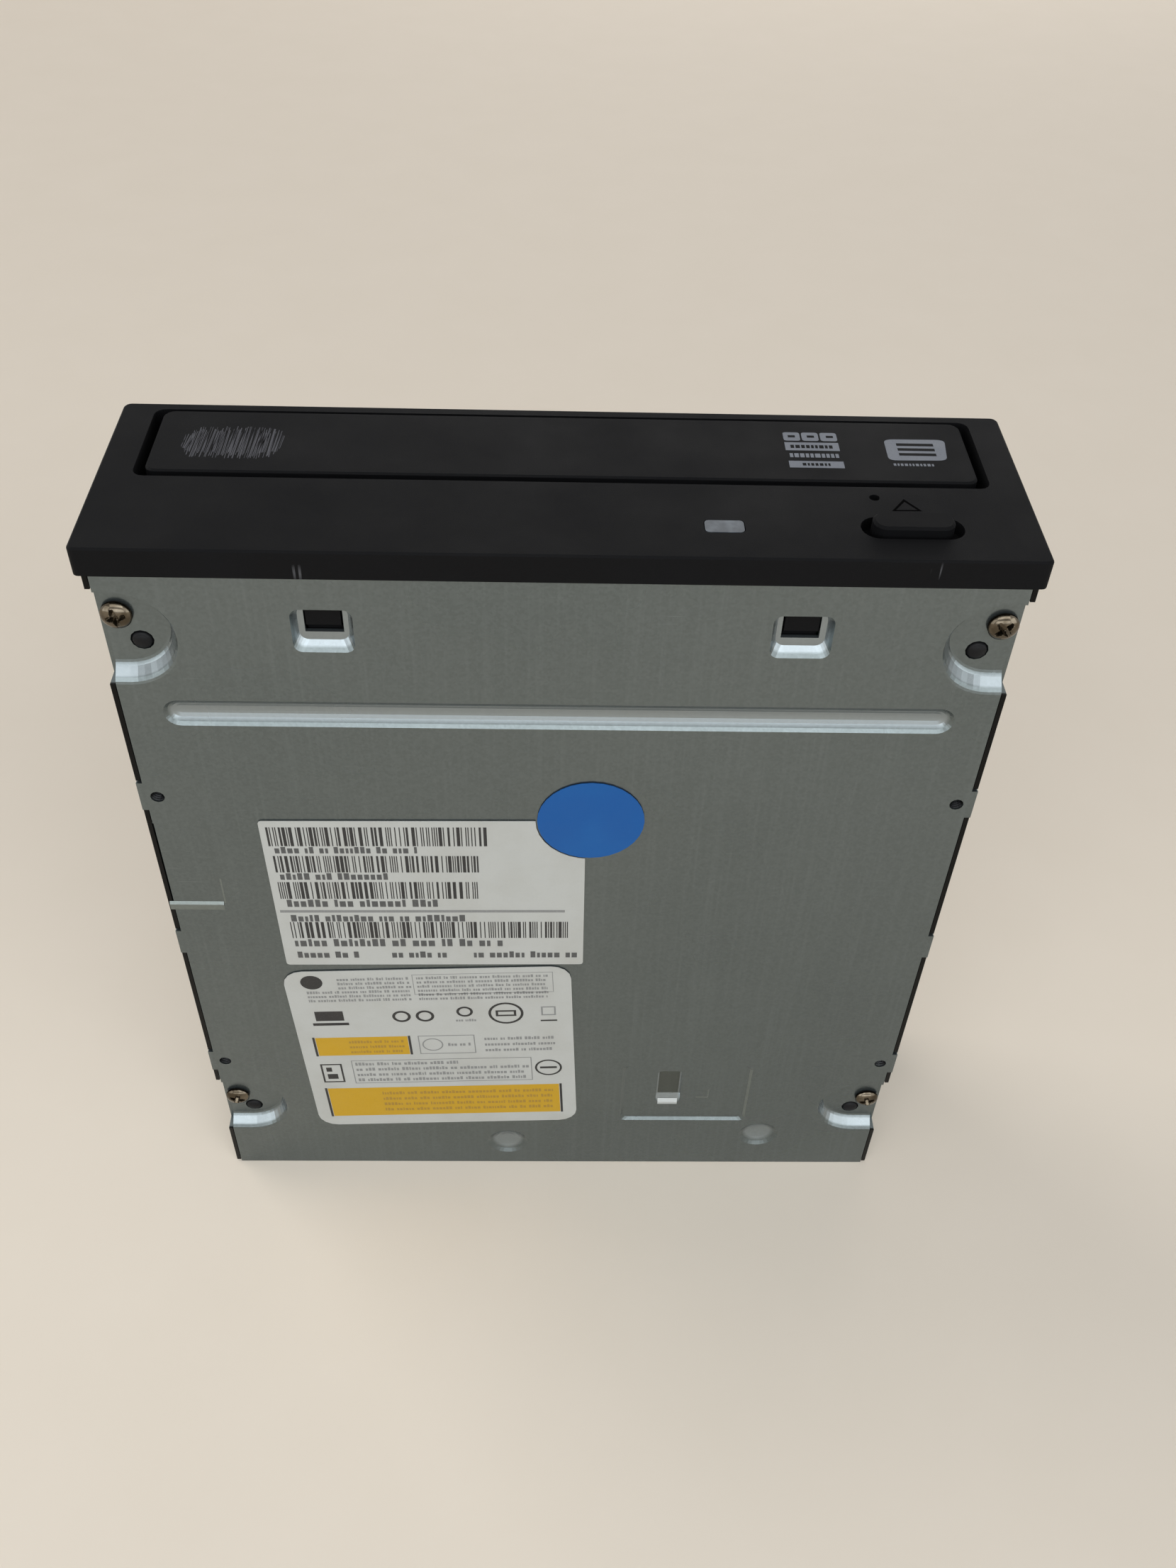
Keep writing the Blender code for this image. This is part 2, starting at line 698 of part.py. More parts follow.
def make_bottom_plate():
    half = CASE_WIDTH / 2 - SHEET - GAP
    length = CASE_LENGTH - GAP
    plate = piece("bottom_plate", block((-half, half), (0.0, SHEET), (0.0, length)), "steel_sheet")
    for up in (MOUNT_HOLE_REAR, TAB_MIDDLE_UP, MOUNT_HOLE_FRONT):
        span = (up - TAB_LENGTH / 2, up + TAB_LENGTH / 2)
        tab = block((half - SHEET, CASE_WIDTH / 2), (0.0, SHEET), span)
        add(plate, *both_sides(tab))
    flange = block((half - SHEET, half), (SHEET / 2, FLANGE_HEIGHT), (FLANGE_LOW, FLANGE_HIGH))
    add(plate, *both_sides(flange))
    bulges = []
    recesses = []
    for across, up, _, _ in pocket_places():
        bulges.append(pocket_form(across, up, SHEET * 0.8, SHEET, half))
        recesses.append(pocket_form(across, up, 0.0, 0.0, CASE_WIDTH))
    add(plate, *both_sides(*bulges))
    cut(plate, *both_sides(*recesses))

    def groove(grow):
        reach = GROOVE_WIDTH / 2 + grow
        low, high = GROOVE_UP - reach, GROOVE_UP + reach
        return rounded(-GROOVE_HALF - grow, low, GROOVE_HALF + grow, high, reach * 0.98, 8)

    def latch_dish(grow):
        return rounded(
            LATCH_ACROSS - LATCH_DISH_LEFT - grow,
            LATCH_DISH_LOW - grow * LATCH_DISH_LOW_SHARE,
            LATCH_ACROSS + LATCH_DISH_RIGHT + grow,
            LATCH_DISH_HIGH + grow * LATCH_DISH_HIGH_SHARE,
            0.0015,
            5,
        )

    def window(grow):
        return rounded(
            STEP_WINDOW_LEFT - grow,
            STEP_WINDOW_LOW - grow,
            STEP_WINDOW_RIGHT + grow,
            STEP_WINDOW_HIGH + grow,
            0.001,
            3,
        )

    groove_bulge, _ = dish(groove, GROOVE_DEPTH, 0.0008)
    groove_sections = [(groove(GROOVE_DEPTH), -GROOVE_DEPTH), (groove(0.0), 0.0)]
    for inward, sunk in GROOVE_PROFILE:
        groove_sections.append((groove(-GROOVE_WIDTH / 2 * inward), GROOVE_DEPTH * sunk))
    groove_recess = loft(groove_sections, "depth")
    latch_bulge, latch_recess = dish(latch_dish, LATCH_DISH_DEPTH, LATCH_DISH_SLOPE)
    window_bulge, _ = dish(window, STEP_WINDOW_DEPTH, 0.0002)
    add(plate, groove_bulge, *both_sides(latch_bulge), window_bulge)
    cut(plate, groove_recess, *both_sides(latch_recess))

    def step(grow):
        return rounded(
            STEP_LEFT - grow, STEP_LOW - grow, STEP_RIGHT + grow, STEP_HIGH + grow, 0.0012, 3
        )

    step_sections = [
        (step(STEP_SLOPE), -STEP_DEPTH),
        (step(0.0), 0.0),
        (step(-STEP_SLOPE), STEP_DEPTH),
    ]
    cut(plate, loft(step_sections, "depth"))
    notch = rod((STEP_NOTCH_ACROSS, STEP_HIGH - 0.001), STEP_NOTCH_RADIUS, -STEP_DEPTH, STEP_DEPTH)
    cut(plate, notch)
    lip = window(0.0)
    sloped = [(a, max(b, STEP_WINDOW_LOW + STEP_WINDOW_LIP)) for a, b in lip]
    cut(plate, loft([(lip, -STEP_DEPTH), (lip, STEP_DEPTH), (sloped, STEP_WINDOW_DEPTH)], "depth"))
    dimples = []
    dimple_bulges = []
    for across, up in (
        (DIMPLE_LEFT_ACROSS, DIMPLE_LEFT_UP),
        (DIMPLE_RIGHT_ACROSS, DIMPLE_RIGHT_UP),
    ):
        profile = [(DIMPLE_RADIUS * wide, DIMPLE_DEPTH * sunk) for wide, sunk in DIMPLE_PROFILE]
        dimples.append(turned((across, up), profile, steps=28))
        dimple_bulges.append(
            turned(
                (across, up),
                [(DIMPLE_RADIUS, SHEET / 2), (DIMPLE_RADIUS * 0.7, DIMPLE_DEPTH + SHEET)],
            )
        )
    add(plate, *dimple_bulges)
    cut(plate, *dimples)
    side_dish = block(
        (-CASE_WIDTH, -CASE_WIDTH / 2 + SIDE_DISH_WIDTH),
        (-SHEET, SIDE_DISH_DEPTH),
        (SIDE_DISH_LOW, SIDE_DISH_HIGH),
    )
    cut(plate, side_dish)
    collars = []
    holes = []
    for up in (MOUNT_HOLE_REAR, MOUNT_HOLE_FRONT):
        centre = (MOUNT_HOLE_ACROSS, up)
        collars.append(rod(centre, MOUNT_COLLAR_RADIUS, SHEET / 2, MOUNT_COLLAR_DEPTH, steps=12))
        holes.append(rod(centre, MOUNT_HOLE_RADIUS, -SHEET, MOUNT_COLLAR_DEPTH * 2, steps=12))
        for depth in (SIDE_HOLE_LOW, SIDE_HOLE_HIGH):
            holes.append(
                rod((depth, up), MOUNT_HOLE_RADIUS, half - SHEET * 2, CASE_WIDTH, "across", 10)
            )
    add(plate, *both_sides(*collars))
    for across, _, screw_up, pin_up in pocket_places():
        holes.append(
            rod(
                (POCKET_SCREW_ACROSS, screw_up),
                SCREW_SHANK_RADIUS + GAP,
                POCKET_DEPTH / 2,
                POCKET_DEPTH * 2,
                steps=12,
            )
        )
        holes.append(
            rod(
                (POCKET_PIN_ACROSS, pin_up),
                PIN_RADIUS + GAP,
                POCKET_DEPTH / 2,
                POCKET_DEPTH * 2,
                steps=12,
            )
        )
    latch = block(
        (LATCH_ACROSS - LATCH_WIDTH / 2, LATCH_ACROSS + LATCH_WIDTH / 2),
        (-SHEET, LATCH_DISH_DEPTH * 4),
        (LATCH_LOW, LATCH_HIGH),
    )
    cut(plate, *both_sides(*holes, latch))
    return plate


def make_top_cover():
    half = CASE_WIDTH / 2
    top = CASE_HEIGHT
    length = CASE_LENGTH - GAP
    foot = SHEET / 2
    outer = [(-half, foot), (half, foot)]
    outer += arc((half - FOLD_RADIUS, top - FOLD_RADIUS), FOLD_RADIUS, 0.0, 90.0, 3)
    outer += arc((-half + FOLD_RADIUS, top - FOLD_RADIUS), FOLD_RADIUS, 90.0, 180.0, 3)
    cover = piece("top_cover", prism(outer, 0.0, length, "up"), "steel_sheet")
    inside = (-half + SHEET, half - SHEET)
    cut(cover, block(inside, (-SHEET, top - SHEET), (SHEET, length * 2)))
    cut(cover, block(inside, (-SHEET, SHEET + GAP), (-SHEET, SHEET * 2)))
    openings = []
    for across, up, _, _ in pocket_places():
        reach = POCKET_RADIUS + GAP
        span = (up - reach, up + reach)
        openings.append(block((inside[1] - SHEET, half * 2), (-SHEET, FRAME_FOOT), span))
    for up in (MOUNT_HOLE_REAR, TAB_MIDDLE_UP, MOUNT_HOLE_FRONT):
        reach = TAB_LENGTH / 2 + GAP
        span = (up - reach, up + reach)
        openings.append(block((inside[1] - SHEET, half * 2), (-SHEET, SHEET + GAP), span))
    for up in (MOUNT_HOLE_REAR, MOUNT_HOLE_FRONT):
        for depth in (SIDE_HOLE_LOW, SIDE_HOLE_HIGH):
            openings.append(
                rod((depth, up), SIDE_HOLE_RADIUS, inside[1] - SHEET, half * 2, "across", 12)
            )
    side_latch = block(
        (inside[1] - SHEET, half * 2),
        (SIDE_LATCH_DEPTH - SIDE_LATCH_WIDTH / 2, SIDE_LATCH_DEPTH + SIDE_LATCH_WIDTH / 2),
        (LATCH_LOW, LATCH_HIGH),
    )
    top_latch = block(
        (TOP_LATCH_ACROSS - LATCH_WIDTH / 2, TOP_LATCH_ACROSS + LATCH_WIDTH / 2),
        (top - SHEET * 2, top * 2),
        (LATCH_LOW, LATCH_HIGH),
    )
    cut(cover, *both_sides(*openings, side_latch, top_latch))
    socket = (SOCKET_LEFT - GAP, SOCKET_LEFT + SOCKET_WIDTH + GAP)
    socket_low = BOARD_UNDER + BOARD_THICK
    socket_depth = (socket_low, socket_low + GAP * 2 + SOCKET_HEIGHT)
    cut(cover, block(socket, socket_depth, (-SHEET, SHEET * 2)))
    inner = top - SHEET
    under = COVER_DISH_DEPTH + SHEET

    def rib(grow):
        reach = COVER_RIB_WIDTH / 2 + grow
        low = SPINDLE_UP - COVER_RIB_LENGTH / 2 - grow
        high = SPINDLE_UP + COVER_RIB_LENGTH / 2 + grow
        return rounded(COVER_RIB_ACROSS - reach, low, COVER_RIB_ACROSS + reach, high, reach * 0.98)

    centre = (0.0, SPINDLE_UP)
    wide, narrow = COVER_DISH_RADIUS, COVER_DISH_RADIUS - 0.001
    bulge = [(wide, inner + SHEET / 4), (narrow, top - under)]
    recess = [(wide + 0.001, top + COVER_DISH_DEPTH), (narrow, top - COVER_DISH_DEPTH)]
    rib_bulge = loft([(rib(0.0), inner + SHEET / 4), (rib(-0.0006), top - under)], "depth")
    rib_recess = loft(
        [(rib(0.0006), top + COVER_DISH_DEPTH), (rib(-0.0006), top - COVER_DISH_DEPTH)],
        "depth",
    )
    add(cover, turned(centre, bulge, steps=28), *both_sides(rib_bulge))
    cut(cover, turned(centre, recess, steps=28), *both_sides(rib_recess))
    return cover


def hook_outline(inner, outer, tip, root):
    """A bezel tongue seen from its narrow side, with a wedge near its end.

    inner and outer are the tongue's two faces, tip is the wedge's height and root where it starts.
    """
    return [
        (inner, root),
        (inner, bezel_back() - HOOK_LENGTH),
        (outer, bezel_back() - HOOK_LENGTH),
        (outer, LATCH_LOW + GAP),
        (tip, LATCH_LOW + GAP + HOOK_RISE),
        (tip, LATCH_HIGH - GAP),
        (outer, LATCH_HIGH - GAP),
        (outer, root),
    ]


def sideways(shape):
    """The shape with its across and depth places exchanged."""
    corners, faces = shape
    return [(b, a, c) for a, b, c in corners], faces


def make_front_bezel():
    back, face = bezel_back(), bezel_face()
    half = BEZEL_WIDTH / 2
    low = (CASE_HEIGHT - BEZEL_HEIGHT) / 2
    high = low + BEZEL_HEIGHT

    def edge(inset):
        return rounded(-half + inset, low + inset, half - inset, high - inset, BEZEL_CORNER)

    chamfer = BEZEL_CORNER / 3
    outside = [(edge(0.0), back), (edge(0.0), face - chamfer), (edge(chamfer), face)]
    bezel = piece("front_bezel", loft(outside, "up"), "black_plastic")
    opening = rounded(
        -OPENING_WIDTH / 2, OPENING_LOW, OPENING_WIDTH / 2, OPENING_HIGH, OPENING_CORNER
    )
    cut(bezel, prism(opening, back - BEZEL_THICK, face + BEZEL_THICK, "up"))
    rim = BEZEL_RIM
    hollow = box_outline(-half + rim, low + rim, half - rim, OPENING_LOW - rim)
    cut(bezel, prism(hollow, back - BEZEL_THICK, face - BEZEL_SKIN, "up"))
    rib_depth = (low + rim / 2, OPENING_LOW - rim / 2)
    rib_up = (back + GAP, face - BEZEL_SKIN / 2)
    ribs = []
    for across in BEZEL_RIBS:
        ribs.append(block((across - rim / 2, across + rim / 2), rib_depth, rib_up))
    add(bezel, *ribs)

    def pocket(grow):
        return rounded(
            POCKET_LEFT - grow,
            POCKET_LOW - grow,
            POCKET_RIGHT + grow,
            POCKET_HIGH + grow,
            ((POCKET_HIGH - POCKET_LOW) / 2 + grow) * 0.98,
            6,
        )

    cup_floor = face - POCKET_SINK
    add(bezel, prism(pocket(BEZEL_RIM / 2), cup_floor - BEZEL_RIM / 2, face - BEZEL_SKIN / 2, "up"))
    cut(bezel, prism(pocket(0.0), cup_floor, face * 2, "up"))
    middle, level = button_middle()
    wide = STEM_WIDTH / 2 + STEM_SLACK
    high_half = STEM_HEIGHT / 2 + STEM_SLACK
    stem_hole = box_outline(middle - wide, level - high_half, middle + wide, level + high_half)
    led_hole = rounded(
        LED_LEFT - LED_SLACK,
        LED_LOW - LED_SLACK,
        LED_RIGHT + LED_SLACK,
        LED_HIGH + LED_SLACK,
        0.0009,
        3,
    )
    pin_hole = circle((HOLE_ACROSS, HOLE_DEPTH), HOLE_RADIUS, 16)
    span = (back - BEZEL_THICK, face + BEZEL_THICK)
    cut(
        bezel,
        prism(stem_hole, *span, "up"),
        prism(led_hole, *span, "up"),
        prism(pin_hole, *span, "up"),
    )
    plate_under = SHEET + LATCH_DISH_DEPTH + GAP
    cover_under = CASE_HEIGHT - SHEET - GAP
    wall = CASE_WIDTH / 2 - SHEET - GAP
    width = LATCH_WIDTH / 2 - GAP
    skin = face - BEZEL_SKIN + GAP
    bottom_side = hook_outline(plate_under + HOOK_THICK, plate_under, plate_under - HOOK_RISE, skin)
    bottom = prism(bottom_side, LATCH_ACROSS - width, LATCH_ACROSS + width, "across")
    top_side = hook_outline(
        cover_under - TOP_HOOK_THICK, cover_under, cover_under + HOOK_RISE / 2, back + GAP * 2
    )
    top = prism(top_side, TOP_LATCH_ACROSS - width, TOP_LATCH_ACROSS + width, "across")
    side_width = SIDE_LATCH_WIDTH / 2 - GAP
    side_outline = hook_outline(wall - HOOK_THICK, wall, wall + HOOK_RISE / 2, back + BEZEL_THICK / 4)
    side = prism(
        side_outline, SIDE_LATCH_DEPTH - side_width, SIDE_LATCH_DEPTH + side_width, "across"
    )
    add(bezel, *both_sides(bottom, top, sideways(side)))
    return bezel


def make_tray_door():
    face = bezel_face()
    half = DOOR_WIDTH / 2

    def edge(inset):
        return rounded(-half + inset, DOOR_LOW + inset, half - inset, DOOR_HIGH - inset, DOOR_CORNER)

    soft = 0.0003
    back = face - DOOR_THICK - DOOR_RIM_DEPTH
    outside = [(edge(0.0), back), (edge(0.0), face - soft), (edge(soft), face)]
    door = piece("tray_door", loft(outside, "up"), "black_plastic")
    rim = BEZEL_RIM
    hollow = box_outline(-half + rim, DOOR_LOW + rim, half - rim, DOOR_HIGH - rim)
    cut(door, prism(hollow, back - rim, face - DOOR_THICK, "up"))
    return door


def make_disc_tray():
    centre = (0.0, SPINDLE_UP)
    body = block((-TRAY_HALF, TRAY_HALF), (TRAY_UNDER, TRAY_RIM), (TRAY_LOW, TRAY_HIGH))
    tray = piece("disc_tray", body, "black_plastic")
    cut(tray, rod(centre, DISC_RECESS_RADIUS, DISC_RECESS_FLOOR, TRAY_RIM * 2, steps=56))
    cut(tray, rod(centre, SMALL_RECESS_RADIUS, SMALL_RECESS_FLOOR, TRAY_RIM * 2, steps=40))
    slot = [(TRAY_SLOT_HALF, TRAY_LOW / 2)]
    slot += arc(centre, TRAY_SLOT_HALF, 0.0, 180.0, 16)
    slot.append((-TRAY_SLOT_HALF, TRAY_LOW / 2))
    cut(tray, prism(slot, TRAY_UNDER / 2, TRAY_RIM * 2))
    door_back = bezel_face() - DOOR_THICK
    lip = block(
        (-TRAY_LIP_HALF, TRAY_LIP_HALF),
        (TRAY_LIP_LOW, TRAY_LIP_HIGH),
        (TRAY_HIGH - 0.0016, door_back - GAP),
    )
    runner_depth = (TRAY_UNDER, TRAY_UNDER + RUNNER_THICK)
    runner_across = (TRAY_HALF - RUNNER_STAND, TRAY_HALF + RUNNER_STAND)
    runner = block(runner_across, runner_depth, (TRAY_LOW, RUNNER_HIGH))
    add(tray, lip, *both_sides(runner))
    rack_low = GEAR_UP - TRAY_TRAVEL - math.pi * RACK_MODULE * 1.5
    rack_high = GEAR_UP + math.pi * RACK_MODULE * 2
    rack = rack_outline(
        rack_line(),
        rack_line() + ROOT_SHARE * RACK_MODULE + RACK_BACK,
        max(rack_low, TRAY_LOW),
        rack_high,
        GEAR_UP + math.pi * RACK_MODULE / 2,
        RACK_MODULE,
    )
    add(tray, prism(rack, TRAY_UNDER - RACK_DEPTH, TRAY_UNDER + 0.0004))
    return tray


def rack_line():
    return GEAR_ACROSS + PINION_TEETH * RACK_MODULE / 2


def pulley_place():
    reach = WHEEL_MODULE * (WHEEL_TEETH + PULLEY_PINION_TEETH) / 2
    bearing = math.radians(PULLEY_BEARING)
    return GEAR_ACROSS + reach * math.cos(bearing), GEAR_UP + reach * math.sin(bearing)


def make_tray_gear():
    centre = (GEAR_ACROSS, GEAR_UP)
    phase = PULLEY_BEARING
    wheel = moved_outline(gear_outline(WHEEL_TEETH, WHEEL_MODULE, phase), centre)
    face = (WHEEL_FACE, WHEEL_FACE + WHEEL_THICK)
    gear = piece("tray_gear", prism(wheel, *face), "white_plastic")
    hub = POST_RADIUS * 2.2
    add(gear, rod(centre, hub, GEAR_FOOT, WHEEL_FACE + WHEEL_THICK / 2))
    pinion = moved_outline(gear_outline(PINION_TEETH, RACK_MODULE, 0.0), centre)
    add(gear, prism(pinion, WHEEL_FACE + WHEEL_THICK / 2, PINION_TOP))
    cut(gear, rod(centre, POST_RADIUS + RUNNING, 0.0, PINION_TOP * 2))
    carry("tray_gear_axis", axis_at(centre, GEAR_FOOT), [gear])
    return gear


def axis_at(centre, depth):
    return centre[0], depth, centre[1]


def pulley_profile(radius, low, high):
    """A grooved pulley's rim, with the groove in its middle."""
    middle = (low + high) / 2
    width = BELT_THICK / 2 + GAP
    return [
        (radius, low),
        (radius, middle - width),
        (radius - GROOVE_SINK, middle - width),
        (radius - GROOVE_SINK, middle + width),
        (radius, middle + width),
        (radius, high),
    ]


def make_pulley_gear():
    centre = pulley_place()
    gear = piece(
        "pulley_gear",
        turned(centre, pulley_profile(PULLEY_RADIUS, GEAR_FOOT, PULLEY_TOP), steps=24),
        "white_plastic",
    )
    phase = PULLEY_BEARING + 180.0 + 180.0 / PULLEY_PINION_TEETH
    pinion = moved_outline(gear_outline(PULLEY_PINION_TEETH, WHEEL_MODULE, phase), centre)
    add(gear, prism(pinion, PULLEY_TOP - 0.0005, WHEEL_FACE + WHEEL_THICK + GAP))
    cut(gear, rod(centre, POST_RADIUS + RUNNING, 0.0, PINION_TOP * 2))
    carry("pulley_gear_axis", axis_at(centre, GEAR_FOOT), [gear])
    return gear


def make_motor_pulley():
    centre = (MOTOR_SHAFT_ACROSS, MOTOR_SHAFT_UP)
    profile = [(SHAFT_RADIUS * 0.7, FRAME_FLOOR - 0.005), (SHAFT_RADIUS * 0.7, GEAR_FOOT + 0.0002)]
    profile += pulley_profile(MOTOR_PULLEY_RADIUS, GEAR_FOOT + 0.0003, PULLEY_TOP)
    pulley = piece("motor_pulley", turned(centre, profile), "white_plastic")
    carry("motor_pulley_axis", axis_at(centre, GEAR_FOOT), [pulley])
    return pulley


def make_drive_belt():
    first, second = pulley_place(), (MOTOR_SHAFT_ACROSS, MOTOR_SHAFT_UP)
    middle = (GEAR_FOOT + PULLEY_TOP) / 2
    seat = GROOVE_SINK - GAP
    inner = belt_outline(first, PULLEY_RADIUS - seat, second, MOTOR_PULLEY_RADIUS - seat)
    outer = belt_outline(
        first,
        PULLEY_RADIUS - seat + BELT_THICK,
        second,
        MOTOR_PULLEY_RADIUS - seat + BELT_THICK,
    )
    low, high = middle - BELT_THICK / 2, middle + BELT_THICK / 2
    loop = loft([(outer, low), (outer, high), (inner, high), (inner, low)], "depth", ring=True)
    return piece("drive_belt", loop, "rubber")


def make_loading_motor():
    centre = (MOTOR_SHAFT_ACROSS, MOTOR_SHAFT_UP)
    top = FRAME_FLOOR - GAP
    soft = 0.0008
    profile = [
        (LOADING_MOTOR_RADIUS - soft, LOADING_MOTOR_LOW),
        (LOADING_MOTOR_RADIUS, LOADING_MOTOR_LOW + soft),
        (LOADING_MOTOR_RADIUS, top),
    ]
    motor = piece("loading_motor", turned(centre, profile, steps=24), "bright_metal")
    add(motor, rod(centre, SHAFT_RADIUS * 2.5, top - soft, FRAME_FLOOR + FLOOR_THICK * 0.6))
    cut(motor, rod(centre, SHAFT_RADIUS * 0.7 + RUNNING, FRAME_FLOOR - 0.0055, CASE_HEIGHT))
    return motor


def make_main_frame():
    body = block((-FRAME_HALF, FRAME_HALF), (FRAME_FOOT, FRAME_RAIL_TOP), (FRAME_LOW, FRAME_HIGH))
    frame = piece("main_frame", body, "frame_plastic")
    inner = (-FRAME_INNER, FRAME_INNER)
    cut(frame, block(inner, (FRAME_FLOOR + FLOOR_THICK, CASE_HEIGHT), (-FRAME_LOW, FRAME_HIGH * 2)))
    skirt_inner = FRAME_INNER - 0.0015
    under = block(
        (-skirt_inner, skirt_inner),
        (0.0, FRAME_FLOOR),
        (-FRAME_LOW, FRAME_HIGH - FRAME_SKIRT),
    )
    cut(frame, under)
    window_half = LIFT_HALF + WINDOW_MARGIN
    window = rounded(-window_half, WINDOW_LOW, window_half, WINDOW_HIGH, 0.002, 2)
    cut(frame, prism(window, FRAME_FLOOR / 2, FRAME_FLOOR * 2))
    groove_depth = (TRAY_UNDER - 0.0004, TRAY_UNDER + RUNNER_THICK + 0.0004)
    groove = block(
        (FRAME_INNER / 2, TRAY_HALF + RUNNER_STAND + 0.0004),
        groove_depth,
        (-FRAME_LOW, FRAME_HIGH * 2),
    )
    cut(frame, *both_sides(groove))
    rear_beam = block(
        (-FRAME_INNER - 0.001, FRAME_INNER + 0.001),
        (FRAME_FLOOR + FLOOR_THICK / 2, REAR_BEAM_TOP),
        (FRAME_LOW, FRAME_LOW + REAR_BEAM_THICK),
    )
    ear_low = LIFT_HALF + GAP
    ears = block(
        (ear_low, ear_low + EAR_LENGTH),
        (PIVOT_DEPTH - EAR_HALF, PIVOT_DEPTH + EAR_HALF),
        (PIVOT_UP - EAR_HALF, PIVOT_UP + EAR_HALF),
    )
    add(frame, rear_beam, *both_sides(ears))
    socket_top = BOARD_UNDER + BOARD_THICK + GAP * 2 + SOCKET_HEIGHT
    socket_across = (SOCKET_LEFT - GAP, SOCKET_LEFT + SOCKET_WIDTH + GAP)
    cut(frame, block(socket_across, (0.0, socket_top), (-SOCKET_LENGTH, SOCKET_LENGTH + GAP)))
    axis = (PIVOT_DEPTH, PIVOT_UP)
    bore_end = ear_low + PIVOT_LENGTH + GAP
    cut(frame, *both_sides(rod(axis, PIVOT_RADIUS + RUNNING, ear_low / 2, bore_end, "across")))
    posts = [
        rod((GEAR_ACROSS, GEAR_UP), POST_RADIUS, FRAME_FLOOR + FLOOR_THICK / 2, PINION_TOP - GAP),
        rod(pulley_place(), POST_RADIUS, FRAME_FLOOR + FLOOR_THICK / 2, WHEEL_FACE + WHEEL_THICK),
    ]
    bosses = []
    bores = []
    pins = []
    for across, up, screw_up, pin_up in pocket_places():
        boss = rod((POCKET_SCREW_ACROSS, screw_up), BOSS_RADIUS, FRAME_FOOT, FRAME_FLOOR, steps=12)
        bosses.append(boss)
        bores.append(
            rod(
                (POCKET_SCREW_ACROSS, screw_up),
                SCREW_SHANK_RADIUS + GAP,
                0.0,
                FRAME_FLOOR - 0.002,
                steps=12,
            )
        )
        dome = [
            (PIN_RADIUS, FRAME_FOOT + 0.001),
            (PIN_RADIUS, PIN_STAND + 0.0006),
            (PIN_RADIUS * 0.8, PIN_STAND + 0.0002),
            (PIN_RADIUS * 0.35, PIN_STAND),
        ]
        pins.append(turned((POCKET_PIN_ACROSS, pin_up), dome, steps=12))
    add(frame, *posts, *both_sides(*bosses))
    add(frame, *both_sides(*pins))
    cut(frame, *both_sides(*bores))
    motor_hole = rod(
        (MOTOR_SHAFT_ACROSS, MOTOR_SHAFT_UP), SHAFT_RADIUS * 2.5 + GAP, FRAME_FLOOR / 2, CASE_HEIGHT
    )
    cut(frame, motor_hole)
    shelf_low = CAM_SHELF_HIGH - 0.0025
    shelf_top = FRAME_FLOOR - CAM_SHELF_THICK - CAM_SLACK * 2
    guide = prism(
        [
            (FRAME_FLOOR + FLOOR_THICK / 2, CAM_SHELF_HIGH + GAP + 0.0015),
            (FRAME_FLOOR + FLOOR_THICK / 2, CAM_SHELF_HIGH + GAP),
            (shelf_top, CAM_SHELF_HIGH + GAP),
            (shelf_top, shelf_low),
            (shelf_top - 0.0015, shelf_low),
            (shelf_top - 0.0015, CAM_SHELF_HIGH + GAP + 0.0015),
        ],
        CAM_LEFT * 0.8,
        CAM_RIGHT + CAM_TRAVEL,
        "across",
    )
    add(frame, guide)
    reach = LATCH_WIDTH / 2 + GAP
    hook_room = block(
        (LATCH_ACROSS - reach, LATCH_ACROSS + reach),
        (0.0, SHEET + LATCH_DISH_DEPTH + HOOK_THICK + GAP * 3),
        (FRAME_HIGH - HOOK_LENGTH, FRAME_HIGH * 2),
    )
    mouth = (FRAME_HIGH - FRAME_SKIRT * 2, FRAME_HIGH * 2)
    led_room = block((LED_LEFT - 0.001, LED_RIGHT + 0.001), (0.0, LED_HIGH + 0.001), mouth)
    middle = button_middle()[0]
    stem_room = block((middle - STEM_WIDTH, middle + STEM_WIDTH), (0.0, BUTTON_HIGH + 0.0006), mouth)
    cut(frame, *both_sides(hook_room), led_room, stem_room)
    return frame


def make_cam_slider():
    plate = block((CAM_LEFT, CAM_RIGHT), (CAM_UNDER, CAM_TOP), (CAM_LOW, CAM_LOW + CAM_THICK))
    slider = piece("cam_slider", plate, "white_plastic")
    shelf_under = FRAME_FLOOR - CAM_SHELF_THICK - CAM_SLACK
    shelf = block(
        (CAM_LEFT * 0.7, CAM_RIGHT),
        (shelf_under, shelf_under + CAM_SHELF_THICK),
        (CAM_LOW + CAM_THICK / 2, CAM_SHELF_HIGH),
    )
    add(slider, shelf)
    drop = cam_pin_drop()
    slots = []
    for across in (-CAM_PIN_ACROSS, CAM_PIN_ACROSS):
        slots.append(prism(cam_slot(across, drop), CAM_LOW / 2, CAM_LOW * 2, "up"))
    cut(slider, *slots)
    carry("cam_slider_axis", (0.0, PIVOT_DEPTH, CAM_LOW), [slider])
    return slider


def cam_pin_drop():
    """How far the lift frame's cam pins sink as it tilts."""
    reach = CAM_LOW + CAM_THICK / 2 - PIVOT_UP
    return reach * math.sin(math.radians(LIFT_TILT))


def cam_slot(across, drop):
    """A slanted slot that carries a pin down as the slider moves towards +X."""
    radius = CAM_PIN_RADIUS + CAM_SLACK
    slope = math.degrees(math.atan2(-drop, -CAM_TRAVEL))
    end = (across - CAM_TRAVEL, PIVOT_DEPTH - drop)
    points = arc((across, PIVOT_DEPTH), radius, slope + 90.0, slope + 270.0, 8)
    points += arc(end, radius, slope - 90.0, slope + 90.0, 8)
    return points


